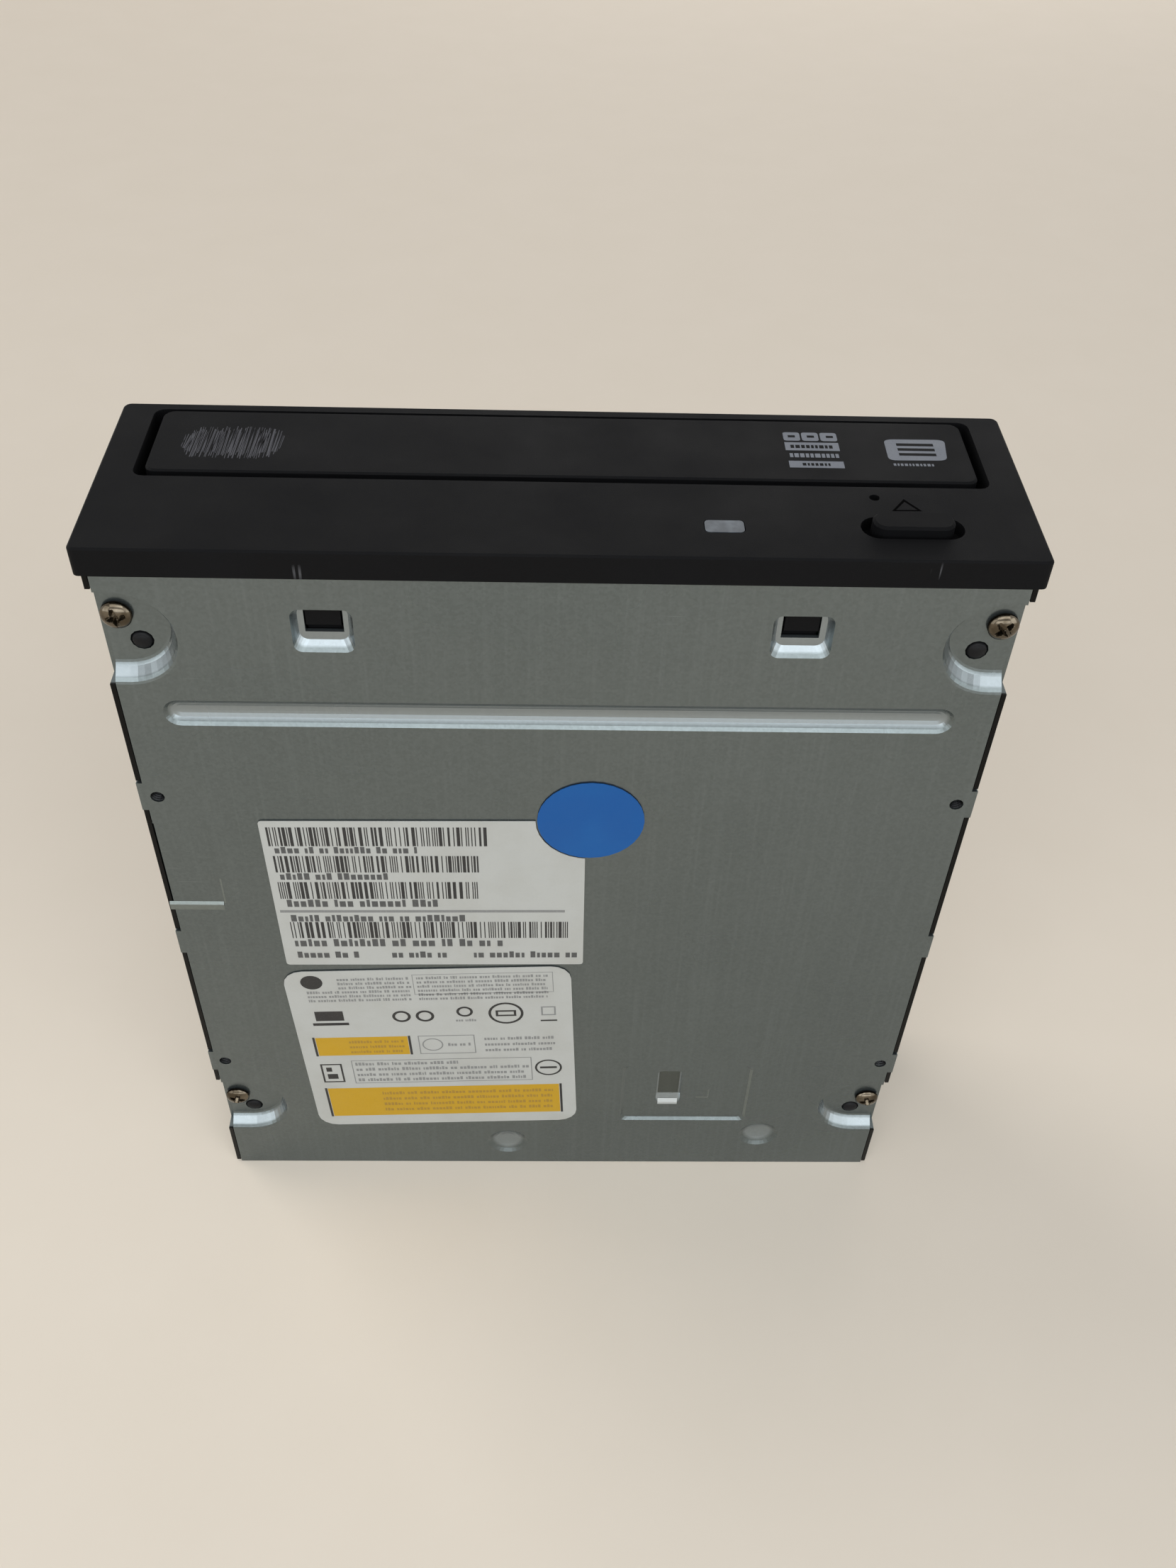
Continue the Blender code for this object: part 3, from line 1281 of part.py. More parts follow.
def make_lift_frame():
    outline = rounded(-LIFT_HALF, LIFT_LOW, LIFT_HALF, LIFT_HIGH, 0.002, 2)
    frame = piece("lift_frame", prism(outline, LIFT_UNDER, LIFT_TOP), "frame_plastic")
    window = rounded(
        -LIFT_WINDOW_HALF, LIFT_WINDOW_LOW, LIFT_WINDOW_HALF, LIFT_WINDOW_HIGH, 0.003, 3
    )
    cut(frame, prism(window, LIFT_UNDER / 2, LIFT_TOP * 2))
    pivot = rod((PIVOT_DEPTH, PIVOT_UP), PIVOT_RADIUS, LIFT_HALF - 0.002, LIFT_HALF + PIVOT_LENGTH, "across")
    cam_pin = rod(
        (CAM_PIN_ACROSS, PIVOT_DEPTH),
        CAM_PIN_RADIUS,
        LIFT_HIGH - 0.002,
        CAM_LOW + CAM_THICK + 0.0004,
        "up",
        16,
    )
    add(frame, *both_sides(pivot, cam_pin))
    bores = [
        rod((DAMPER_ACROSS, up), DAMPER_SCREW_RADIUS + GAP, LIFT_UNDER + 0.001, CASE_HEIGHT, steps=12)
        for up in (DAMPER_LOW, DAMPER_HIGH)
    ]
    cut(frame, *both_sides(*bores))
    return frame


def make_traverse_chassis():
    outline = rounded(-CHASSIS_HALF, CHASSIS_LOW, CHASSIS_HALF, CHASSIS_HIGH, 0.003, 3)
    top = CHASSIS_UNDER + CHASSIS_THICK
    chassis = piece("traverse_chassis", prism(outline, CHASSIS_UNDER, top), "bright_metal")
    block_reach = ROD_RADIUS + 0.002
    blocks = []
    for up in (ROD_LOW - ROD_BLOCK / 2, ROD_HIGH - ROD_BLOCK / 2):
        blocks.append(
            block(
                (-ROD_ACROSS - block_reach, -ROD_ACROSS + block_reach),
                (CHASSIS_UNDER, ROD_DEPTH + block_reach),
                (up, up + ROD_BLOCK),
            )
        )
    window_high = SPINDLE_UP - SPINDLE_MOTOR_RADIUS - 0.002
    window = box_outline(
        -ROD_ACROSS - SLEEVE_RADIUS - 0.001,
        ROD_LOW + 0.002,
        SCREW_ACROSS + 0.0035,
        window_high,
    )
    cut(chassis, prism(window, CHASSIS_UNDER / 2, CHASSIS_UNDER * 2))
    add(chassis, *blocks)
    add(chassis, *[mirrored(shape) for shape in blocks])
    tab_across = (SCREW_ACROSS - 0.002, SCREW_ACROSS + 0.002)
    tab_high = SCREW_LOW - 0.0003
    tab = block(tab_across, (CHASSIS_UNDER, ROD_DEPTH + 0.0026), (tab_high - 0.0024, tab_high))
    tab_foot = block(tab_across, (CHASSIS_UNDER, top), (CHASSIS_LOW + 0.001, tab_high - 0.001))
    add(chassis, tab)
    add(chassis, tab_foot)
    motor = sled_motor_span()
    reach = SLED_MOTOR_RADIUS + GAP
    motor_room = block(
        (SCREW_ACROSS - reach, SCREW_ACROSS + reach), (0.0, top * 2), (motor[0] - GAP, motor[1] + GAP)
    )
    cut(chassis, rod((0.0, SPINDLE_UP), SPINDLE_MOTOR_RADIUS + GAP, 0.0, CASE_HEIGHT, steps=32))
    cut(chassis, motor_room)
    cut(chassis, block(tab_across, (0.0, top * 2), (window_high - 0.001, motor[0])))
    bores = []
    for across in (-ROD_ACROSS, ROD_ACROSS):
        bores.append(
            rod((across, ROD_DEPTH), ROD_RADIUS + GAP, ROD_LOW - GAP, ROD_HIGH + GAP, "up", 16)
        )
    tip = (SCREW_ACROSS, ROD_DEPTH)
    bores.append(rod(tip, SCREW_TIP_RADIUS + RUNNING, CHASSIS_LOW, SCREW_LOW + 0.002, "up", 16))
    cut(chassis, *bores)
    holes = [
        rod((DAMPER_ACROSS, up), DAMPER_NECK + GAP, 0.0, CASE_HEIGHT, steps=16)
        for up in (DAMPER_LOW, DAMPER_HIGH)
    ]
    cut(chassis, *both_sides(*holes))
    return chassis


def sled_motor_span():
    low = SPINDLE_UP - SPINDLE_MOTOR_RADIUS + 0.004
    return low, low + SLED_MOTOR_LENGTH


def damper_places():
    places = []
    for up in (DAMPER_LOW, DAMPER_HIGH):
        for across in (-DAMPER_ACROSS, DAMPER_ACROSS):
            places.append((across, up))
    return places


def make_dampers():
    """Rubber dampers, each with a neck that the chassis sits in, and the screws through them."""
    low = LIFT_TOP + GAP
    neck_low = CHASSIS_UNDER - GAP
    neck_high = CHASSIS_UNDER + CHASSIS_THICK + GAP
    high = neck_high + (neck_low - low) * 0.7
    made = []
    for index, place in enumerate(damper_places(), start=1):
        profile = [
            (DAMPER_BORE, low),
            (DAMPER_RADIUS, low),
            (DAMPER_RADIUS, neck_low),
            (DAMPER_NECK, neck_low),
            (DAMPER_NECK, neck_high),
            (DAMPER_RADIUS, neck_high),
            (DAMPER_RADIUS, high),
            (DAMPER_BORE, high),
        ]
        made.append(piece(f"damper_{index}", turned(place, profile, steps=10, ring=True), "rubber"))
        head = high + GAP
        screw_profile = [
            (DAMPER_SCREW_RADIUS, LIFT_UNDER + 0.0014),
            (DAMPER_SCREW_RADIUS, head),
            (DAMPER_SCREW_RADIUS * 2.4, head),
            (DAMPER_SCREW_RADIUS * 2.4, head + 0.0008),
            (DAMPER_SCREW_RADIUS * 1.8, head + 0.0012),
        ]
        made.append(
            piece(f"damper_screw_{index}", turned(place, screw_profile, steps=10), "bright_metal")
        )
    return made


def make_guide_rods():
    rods = []
    for name, across in (("guide_rod_left", -ROD_ACROSS), ("guide_rod_right", ROD_ACROSS)):
        rods.append(
            piece(name, rod((across, ROD_DEPTH), ROD_RADIUS, ROD_LOW, ROD_HIGH, "up", 16), "bright_metal")
        )
    return rods


def make_sled_motor():
    low, high = sled_motor_span()
    profile = [(SLED_MOTOR_RADIUS, low), (SLED_MOTOR_RADIUS, high)]
    motor = piece("sled_motor", turned((SCREW_ACROSS, ROD_DEPTH), profile, "up", 24), "bright_metal")
    tip = (SCREW_ACROSS, ROD_DEPTH)
    cut(motor, rod(tip, SCREW_TIP_RADIUS + RUNNING, low - 0.001, low + 0.004, "up", 16))
    return motor


def make_lead_screw():
    low = sled_motor_span()[0]
    thin = SCREW_TIP_RADIUS
    profile = [
        (thin, SCREW_LOW - 0.0024),
        (thin, SCREW_LOW),
        (SCREW_RADIUS, SCREW_LOW),
        (SCREW_RADIUS, low - 0.001),
        (thin, low - 0.001),
        (thin, low + 0.0035),
    ]
    screw = piece("lead_screw", turned((SCREW_ACROSS, ROD_DEPTH), profile, "up", 16), "bright_metal")
    return screw


def lens_up():
    return SPINDLE_UP - LENS_REST


def make_pickup():
    up = lens_up()
    span = (up - PICKUP_BEHIND, up + PICKUP_BEFORE)
    outline = rounded(-PICKUP_HALF, span[0], PICKUP_HALF, span[1], 0.0025, 3)
    pickup = piece("pickup", prism(outline, PICKUP_UNDER, PICKUP_TOP), "frame_plastic")
    sleeve = rod((-ROD_ACROSS, ROD_DEPTH), SLEEVE_RADIUS, span[0], span[1], "up")
    add(pickup, sleeve)
    bridge_across = (-ROD_ACROSS - SLEEVE_RADIUS / 2, -PICKUP_HALF + 0.001)
    add(pickup, block(bridge_across, (ROD_DEPTH - 0.0012, PICKUP_TOP - 0.0005), span))
    arm_low = ROD_DEPTH + ROD_RADIUS + RUNNING
    fork_across = (PICKUP_HALF - 0.001, SCREW_ACROSS + 0.003)
    fork = block(fork_across, (arm_low, PICKUP_TOP), (up - 0.004, up + 0.004))
    add(pickup, fork)
    claw = block(
        (PICKUP_HALF - 0.001, ROD_ACROSS + 0.001),
        (PICKUP_UNDER + 0.0006, ROD_DEPTH - ROD_RADIUS - RUNNING),
        (up - 0.004, up + 0.004),
    )
    add(pickup, claw)
    nut = block(
        (SCREW_ACROSS - 0.0029, SCREW_ACROSS + 0.003),
        (ROD_DEPTH - 0.0029, PICKUP_TOP - 0.0005),
        (up - 0.003, up + 0.003),
    )
    add(pickup, nut)
    well = rod((0.0, up), LENS_RADIUS + LENS_TRAVEL + 0.001, PICKUP_TOP - 0.003, CASE_HEIGHT)
    bores = [
        rod((-ROD_ACROSS, ROD_DEPTH), ROD_RADIUS + RUNNING, 0.0, CASE_LENGTH, "up"),
        rod((SCREW_ACROSS, ROD_DEPTH), SCREW_RADIUS + GAP, 0.0, CASE_LENGTH, "up", 16),
    ]
    cut(pickup, well, *bores)
    return pickup


def make_objective_lens():
    centre = (0.0, lens_up())
    floor = PICKUP_TOP - 0.003
    profile = [
        (LENS_RADIUS, floor + LENS_TRAVEL + GAP),
        (LENS_RADIUS, LENS_TOP - 0.0008),
        (LENS_RADIUS * 0.8, LENS_TOP - 0.0005),
        (LENS_RADIUS * 0.5, LENS_TOP - 0.0001),
        (LENS_RADIUS * 0.2, LENS_TOP),
    ]
    return piece("objective_lens", turned(centre, profile), "clear_lens")


def make_spindle_motor():
    centre = (0.0, SPINDLE_UP)
    plate_under = CHASSIS_UNDER - GAP - 0.0014
    plate = rounded(
        -MOTOR_PLATE_HALF,
        SPINDLE_UP - MOTOR_PLATE_BELOW,
        MOTOR_PLATE_HALF,
        SPINDLE_UP + MOTOR_PLATE_ABOVE,
        0.002,
        3,
    )
    motor = piece("spindle_motor", prism(plate, plate_under, CHASSIS_UNDER - GAP), "bright_metal")
    add(motor, rod(centre, SPINDLE_MOTOR_RADIUS, plate_under + 0.0005, SPINDLE_MOTOR_TOP, steps=32))
    cut(motor, rod(centre, SHAFT_RADIUS + RUNNING, plate_under + 0.0005, CASE_HEIGHT, steps=16))
    return motor


def make_turntable():
    centre = (0.0, SPINDLE_UP)
    low = SPINDLE_MOTOR_TOP + GAP
    profile = [
        (SHAFT_RADIUS, CHASSIS_UNDER - 0.0008),
        (SHAFT_RADIUS, low),
        (SPINDLE_MOTOR_RADIUS + 0.0007, low),
        (SPINDLE_MOTOR_RADIUS + 0.0007, low + TURNTABLE_NECK),
        (TURNTABLE_RADIUS - 0.0008, low + TURNTABLE_NECK * 1.2),
        (TURNTABLE_RADIUS, low + TURNTABLE_NECK * 1.35),
        (TURNTABLE_RADIUS, DISC_SEAT),
        (TURNTABLE_RADIUS - 0.003, DISC_SEAT),
        (TURNTABLE_RADIUS - 0.0034, DISC_SEAT - 0.0004),
        (HUB_RADIUS + 0.0003, DISC_SEAT - 0.0004),
        (HUB_RADIUS, DISC_SEAT + 0.0006),
        (HUB_RADIUS * 0.75, HUB_TOP),
        (HUB_RADIUS * 0.3, HUB_TOP),
        (HUB_RADIUS * 0.3, HUB_TOP - 0.001),
    ]
    return piece("turntable", turned(centre, profile, steps=24), "frame_plastic")


def make_clamper():
    centre = (0.0, SPINDLE_UP)
    flange_under = BRIDGE_UNDER + BRIDGE_THICK + GAP
    profile = [
        (HUB_RADIUS + 0.0008, CLAMPER_UNDER),
        (CLAMPER_RADIUS, CLAMPER_UNDER),
        (CLAMPER_RADIUS, flange_under),
        (CLAMPER_FLANGE, flange_under),
        (CLAMPER_FLANGE, flange_under + 0.0009),
        (CLAMPER_RADIUS * 0.6, flange_under + 0.0012),
        (CLAMPER_RADIUS * 0.6, flange_under + 0.0007),
        (HUB_RADIUS * 0.4, flange_under + 0.0007),
        (HUB_RADIUS * 0.4, HUB_TOP + 0.0010),
        (HUB_RADIUS * 0.9, HUB_TOP + 0.0010),
    ]
    return piece("clamper", turned(centre, profile, steps=24, ring=True), "white_plastic")


def make_clamp_bridge():
    centre = (0.0, SPINDLE_UP)
    low, high = SPINDLE_UP - BRIDGE_HALF, SPINDLE_UP + BRIDGE_HALF
    wide = CLAMPER_FLANGE + 0.004
    outline = [(-BRIDGE_REACH, low), (-wide, low)]
    outline += arc(centre, wide, 225.0, 315.0, 8)
    outline += [(wide, low), (BRIDGE_REACH, low), (BRIDGE_REACH, high), (wide, high)]
    outline += arc(centre, wide, 45.0, 135.0, 8)
    outline += [(-wide, high), (-BRIDGE_REACH, high)]
    top = BRIDGE_UNDER + BRIDGE_THICK
    bridge = piece("clamp_bridge", prism(outline, BRIDGE_UNDER, top), "steel_sheet")
    foot = block(
        (BRIDGE_REACH - 0.0034, BRIDGE_REACH),
        (FRAME_RAIL_TOP + GAP, BRIDGE_UNDER + BRIDGE_THICK / 2),
        (low, high),
    )
    add(bridge, *both_sides(foot))
    cut(bridge, rod(centre, CLAMPER_RADIUS + 0.0006, BRIDGE_UNDER / 2, CASE_HEIGHT, steps=32))
    return bridge


def button_middle():
    return (BUTTON_LEFT + BUTTON_RIGHT) / 2, (BUTTON_LOW + BUTTON_HIGH) / 2


def make_eject_button():
    """A pill shaped cap that stands out of its pocket, and a stem to the switch."""
    top = bezel_face() + BUTTON_STAND
    back = bezel_face() - POCKET_SINK + BUTTON_TRAVEL + GAP
    middle, level = button_middle()

    def edge(inset):
        return rounded(
            BUTTON_LEFT + inset,
            BUTTON_LOW + inset,
            BUTTON_RIGHT - inset,
            BUTTON_HIGH - inset,
            BUTTON_CORNER - inset,
            5,
        )

    soft = 0.0004
    cap = loft([(edge(0.0), back), (edge(0.0), top - soft), (edge(soft), top)], "up")
    button = piece("eject_button", cap, "black_plastic")
    stem = box_outline(
        middle - STEM_WIDTH / 2,
        level - STEM_HEIGHT / 2,
        middle + STEM_WIDTH / 2,
        level + STEM_HEIGHT / 2,
    )
    add(button, prism(stem, plunger_top() + GAP, back + 0.0005, "up"))
    return button


def plunger_top():
    return SWITCH_LOW + SWITCH_SIZE + BUTTON_TRAVEL + GAP


def make_eject_switch():
    centre = button_middle()
    middle = centre[0]
    under = BOARD_UNDER + BOARD_THICK * 0.75 + GAP
    body = block(
        (middle - SWITCH_SIZE / 2, middle + SWITCH_SIZE / 2),
        (under, BUTTON_HIGH - 0.0004),
        (SWITCH_LOW, SWITCH_LOW + SWITCH_SIZE),
    )
    switch = piece("eject_switch", body, "frame_plastic")
    cut(switch, rod(centre, PLUNGER_RADIUS + RUNNING, SWITCH_LOW + 0.0015, CASE_LENGTH, "up", 16))
    low = SWITCH_LOW + 0.0015 + BUTTON_TRAVEL + GAP
    plunger = piece(
        "switch_plunger", rod(centre, PLUNGER_RADIUS, low, plunger_top(), "up", 16), "white_plastic"
    )
    return switch, plunger


def make_front_board():
    thick = BOARD_THICK * 0.75
    outline = rounded(
        FRONT_BOARD_LEFT, FRONT_BOARD_LOW, FRONT_BOARD_RIGHT, FRONT_BOARD_HIGH, 0.001, 2
    )
    return piece("front_board", prism(outline, BOARD_UNDER, BOARD_UNDER + thick), "board")


def make_led_lens():
    """A light pipe from the front board's lamp to the window in the bezel."""
    face = bezel_face()
    back = bezel_back()

    def window(inset):
        return rounded(
            LED_LEFT + inset, LED_LOW + inset, LED_RIGHT - inset, LED_HIGH - inset, 0.0007, 3
        )

    pipe = loft(
        [
            (window(0.0006), FRONT_BOARD_HIGH - 0.004),
            (window(0.0003), back),
            (window(0.0), back + 0.001),
            (window(0.0), face),
        ],
        "up",
    )
    return piece("led_lens", pipe, "clear_lens")


def make_main_board():
    outline = rounded(-BOARD_HALF, BOARD_LOW, BOARD_HALF, BOARD_HIGH, 0.001, 2)
    top = BOARD_UNDER + BOARD_THICK
    board = piece("main_board", prism(outline, BOARD_UNDER, top), "board")
    chips = []
    for name, (across, up), size in (
        ("main_chip", MAIN_CHIP_CENTRE, MAIN_CHIP_SIZE),
        ("driver_chip", DRIVER_CHIP_CENTRE, DRIVER_CHIP_SIZE),
    ):
        half = size / 2
        body = loft(
            [
                (box_outline(across - half, up - half, across + half, up + half), top + GAP),
                (
                    box_outline(
                        across - half * 0.96, up - half * 0.96, across + half * 0.96, up + half * 0.96
                    ),
                    top + GAP + CHIP_THICK,
                ),
            ],
            "depth",
        )
        chips.append(piece(name, body, "frame_plastic"))
    return board, chips


def make_sata_socket():
    """The combined data and power socket, with an L shaped tongue in each slot."""
    under = BOARD_UNDER + BOARD_THICK + GAP
    right = SOCKET_LEFT + SOCKET_WIDTH
    body = block((SOCKET_LEFT, right), (under, under + SOCKET_HEIGHT), (GAP, SOCKET_LENGTH))
    socket = piece("sata_socket", body, "frame_plastic")
    middle = under + SOCKET_HEIGHT / 2
    low, high = middle - PLUG_SLOT / 2, middle + PLUG_SLOT / 2
    spare = (SOCKET_WIDTH - DATA_PLUG_WIDTH - POWER_PLUG_WIDTH) / 3
    data_left = SOCKET_LEFT + spare
    power_left = data_left + DATA_PLUG_WIDTH + spare
    tongue_low = low + PLUG_SLOT * 0.3
    slots = []
    tongues = []
    for left, width in ((data_left, DATA_PLUG_WIDTH), (power_left, POWER_PLUG_WIDTH)):
        slots.append(block((left, left + width), (low, high), (-GAP, PLUG_DEEP)))
        inset = 0.0011
        tongues.append(
            block(
                (left + inset, left + width - inset),
                (tongue_low, tongue_low + TONGUE_THICK),
                (GAP + 0.0008, PLUG_DEEP + 0.0005),
            )
        )
    cut(socket, *slots)
    add(socket, *tongues)
    return socket


def make_flat_cable():
    """The flat cable from the main board forward to the front board, folded flat under the frame."""
    under = BOARD_UNDER + BOARD_THICK + GAP
    low_level = BOARD_UNDER + BOARD_THICK * 0.75 + GAP
    side = [
        (under, BOARD_HIGH - 0.010),
        (under, BOARD_HIGH + 0.004),
        (low_level, BOARD_HIGH + 0.008),
        (low_level, FRONT_BOARD_LOW + 0.008),
    ]
    outline = side + [(depth + CABLE_THICK, up) for depth, up in reversed(side)]
    left = CABLE_CENTRE - CABLE_WIDTH / 2
    return piece("flat_cable", prism(outline, left, left + CABLE_WIDTH, "across"), "label_paper")


def make_cover_screws():
    """The four screws in the corner pockets, each with a cross recess."""
    seat = POCKET_DEPTH - GAP
    screws = []
    index = 0
    for _, _, screw_up, _ in pocket_places():
        for side in (-1, 1):
            index += 1
            centre = (side * POCKET_SCREW_ACROSS, screw_up)
            profile = [
                (SCREW_SHANK_RADIUS, FRAME_FLOOR - 0.004),
                (SCREW_SHANK_RADIUS, seat),
                (SCREW_HEAD_RADIUS, seat),
                (SCREW_HEAD_RADIUS, seat - SCREW_HEAD_HEIGHT * 0.6),
                (SCREW_HEAD_RADIUS * 0.75, seat - SCREW_HEAD_HEIGHT),
            ]
            screw = piece(f"cover_screw_{index}", turned(centre, profile, steps=16), "bright_metal")
            wide, narrow = SCREW_HEAD_RADIUS * 0.6, SCREW_HEAD_RADIUS * 0.16
            cross = [
                (wide, narrow),
                (narrow, narrow),
                (narrow, wide),
                (-narrow, wide),
                (-narrow, narrow),
                (-wide, narrow),
                (-wide, -narrow),
                (-narrow, -narrow),
                (-narrow, -wide),
                (narrow, -wide),
                (narrow, -narrow),
                (wide, -narrow),
            ]
            small = [(a * 0.4, b * 0.4) for a, b in cross]
            turn = 20.0 * index
            recess = loft(
                [
                    (turned_outline(cross, centre, turn), seat - SCREW_HEAD_HEIGHT * 1.5),
                    (turned_outline(cross, centre, turn), seat - SCREW_HEAD_HEIGHT),
                    (turned_outline(small, centre, turn), seat - SCREW_HEAD_HEIGHT * 0.2),
                ],
                "depth",
            )
            cut(screw, recess)
            screws.append(screw)
    return screws


def make_labels():
    """Two paper labels and a round sticker on the plate. The upper label makes room for the sticker."""
    low, high = -LABEL_LIFT - LABEL_THICK, -LABEL_LIFT
    width, height = UPPER_LABEL_SIZE
    upper_outline = rounded(-width / 2, -height / 2, width / 2, height / 2, 0.0006, 2)
    upper = turned_outline(upper_outline, UPPER_LABEL_CENTRE, UPPER_LABEL_TURN)
    upper_label = piece("upper_label", prism(upper, low, high), "label_paper")
    cut(upper_label, rod(STICKER_CENTRE, STICKER_RADIUS + GAP, -SHEET * 2, SHEET, steps=32))
    width, height = LOWER_LABEL_SIZE
    lower_outline = rounded(-width / 2, -height / 2, width / 2, height / 2, LOWER_LABEL_CORNER)
    lower = turned_outline(lower_outline, LOWER_LABEL_CENTRE, LOWER_LABEL_TURN)
    piece("lower_label", prism(lower, low, high), "label_paper")
    piece("round_sticker", rod(STICKER_CENTRE, STICKER_RADIUS, low, high, steps=32), "sticker_blue")


def build():
    for old in list(bpy.data.objects):
        bpy.data.objects.remove(old, do_unlink=True)
    make_bottom_plate()
    make_top_cover()
    make_front_bezel()
    make_main_frame()
    make_main_board()
    make_sata_socket()
    make_front_board()
    make_led_lens()
    make_flat_cable()
    make_loading_motor()
    make_drive_belt()
    make_clamp_bridge()
    make_cover_screws()
    make_labels()
    carry("tray_axis", (0.0, TRAY_UNDER, TRAY_HIGH), [make_disc_tray(), make_tray_door()])
    make_tray_gear()
    make_pulley_gear()
    make_motor_pulley()
    make_cam_slider()
    lift = [make_lift_frame(), make_traverse_chassis(), make_spindle_motor(), make_sled_motor()]
    lift += make_dampers() + make_guide_rods()
    carry("lift_axis", (0.0, PIVOT_DEPTH, PIVOT_UP), lift)
    carry("spindle_axis", (0.0, DISC_SEAT, SPINDLE_UP), [make_turntable()])
    carry("clamper_axis", (0.0, BRIDGE_UNDER, SPINDLE_UP), [make_clamper()])
    carry("pickup_axis", (-ROD_ACROSS, ROD_DEPTH, lens_up()), [make_pickup()])
    carry("lens_axis", (0.0, LENS_TOP, lens_up()), [make_objective_lens()])
    carry("lead_screw_axis", (SCREW_ACROSS, ROD_DEPTH, SCREW_LOW), [make_lead_screw()])
    switch, plunger = make_eject_switch()
    carry("button_axis", (*button_middle(), bezel_face()), [make_eject_button(), plunger])


build()
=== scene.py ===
"""Dresses the optical disc drive for rendering: materials, print, screws and other fine detail.

Places are written in millimetres as (across, depth, up), as in the part: across is +X, depth runs
from the bottom plate's outer face along +Y, and up is +Z.
"""

import math
import random

import bmesh
import bpy
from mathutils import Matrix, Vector


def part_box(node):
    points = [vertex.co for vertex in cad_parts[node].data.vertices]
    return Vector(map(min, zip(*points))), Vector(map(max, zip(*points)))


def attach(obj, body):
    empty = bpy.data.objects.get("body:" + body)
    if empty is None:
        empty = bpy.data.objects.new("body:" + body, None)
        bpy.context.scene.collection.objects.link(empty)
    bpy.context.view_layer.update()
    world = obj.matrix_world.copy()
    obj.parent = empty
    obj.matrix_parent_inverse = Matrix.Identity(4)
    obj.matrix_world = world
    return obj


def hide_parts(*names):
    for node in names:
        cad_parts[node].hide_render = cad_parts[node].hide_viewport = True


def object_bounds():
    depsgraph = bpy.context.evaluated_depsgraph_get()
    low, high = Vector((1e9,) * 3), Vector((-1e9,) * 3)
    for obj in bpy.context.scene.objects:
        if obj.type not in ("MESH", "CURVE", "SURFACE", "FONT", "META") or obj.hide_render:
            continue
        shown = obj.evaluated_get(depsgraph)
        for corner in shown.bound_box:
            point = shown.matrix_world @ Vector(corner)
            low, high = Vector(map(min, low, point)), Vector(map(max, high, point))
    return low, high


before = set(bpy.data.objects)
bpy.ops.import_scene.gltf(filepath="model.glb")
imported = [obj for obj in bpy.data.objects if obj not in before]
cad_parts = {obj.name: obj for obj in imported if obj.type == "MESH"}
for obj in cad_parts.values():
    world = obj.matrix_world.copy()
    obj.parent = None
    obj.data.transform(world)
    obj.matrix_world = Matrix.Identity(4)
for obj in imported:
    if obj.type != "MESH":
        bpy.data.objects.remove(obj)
cad_bounds = [list(corner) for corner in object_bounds()]

MM = 0.001
HALF_DEPTH = 20.65
BEZEL_FACE = 171.5
PRINT_DEPTH = -0.292
DISC_SEAT = 32.0

# Each label's centre across and up, and its turn in degrees
UPPER_LABEL = (-24.15, 93.7, 0.7)
LOWER_LABEL = (-24.65, 44.4, 2.5)

# Places of the pins, screws and tapped holes, across and up
CASE_PINS = ((-66.8, 152.1), (66.8, 152.1), (-66.8, 19.6), (66.8, 19.6))
CASE_SCREWS = ((-69.8, 157.4), (69.8, 157.4), (-69.8, 23.7), (69.8, 23.7))
TAPPED_HOLES = ((-69.85, 39.9), (-69.85, 119.15), (69.85, 39.9), (69.85, 119.15))

# How far marks lie above the door, above the door's print and above the bezel
DOOR_PRINT_LIFT = 0.012
DOOR_GAP_LIFT = 0.004
ENGRAVING_SHADE_MARK_LIFT = 0.01

# Depths of the marks on the bottom plate and in its stepped rectangle
PLATE_MARK_DEPTH = -0.012
STEP_MARK_DEPTH = 0.488

# Rise of one turn in the tapped holes and on the lead screw
THREAD_PITCH = 0.5
LEAD_PITCH = 3.0

# The socket, with each plug's width and number of contacts
SOCKET_WIDTH = 41.6
SOCKET_HEIGHT = 8.0
PLUG_SLOT = 4.8
TONGUE_THICK = 1.2
TONGUE_INSET = 1.1
DATA_PLUG = (11.6, 7)
POWER_PLUG = (22.2, 15)


def at(across, depth, up):
    return Vector((across * MM, (depth - HALF_DEPTH) * MM, up * MM))


def tone(red, green, blue):
    """A colour as it looks in a picture, turned into the linear value that a shader takes."""
    linear = []
    for part in (red, green, blue):
        share = part / 255.0
        linear.append(share / 12.92 if share <= 0.04045 else ((share + 0.055) / 1.055) ** 2.4)
    return (*linear, 1.0)


# Materials


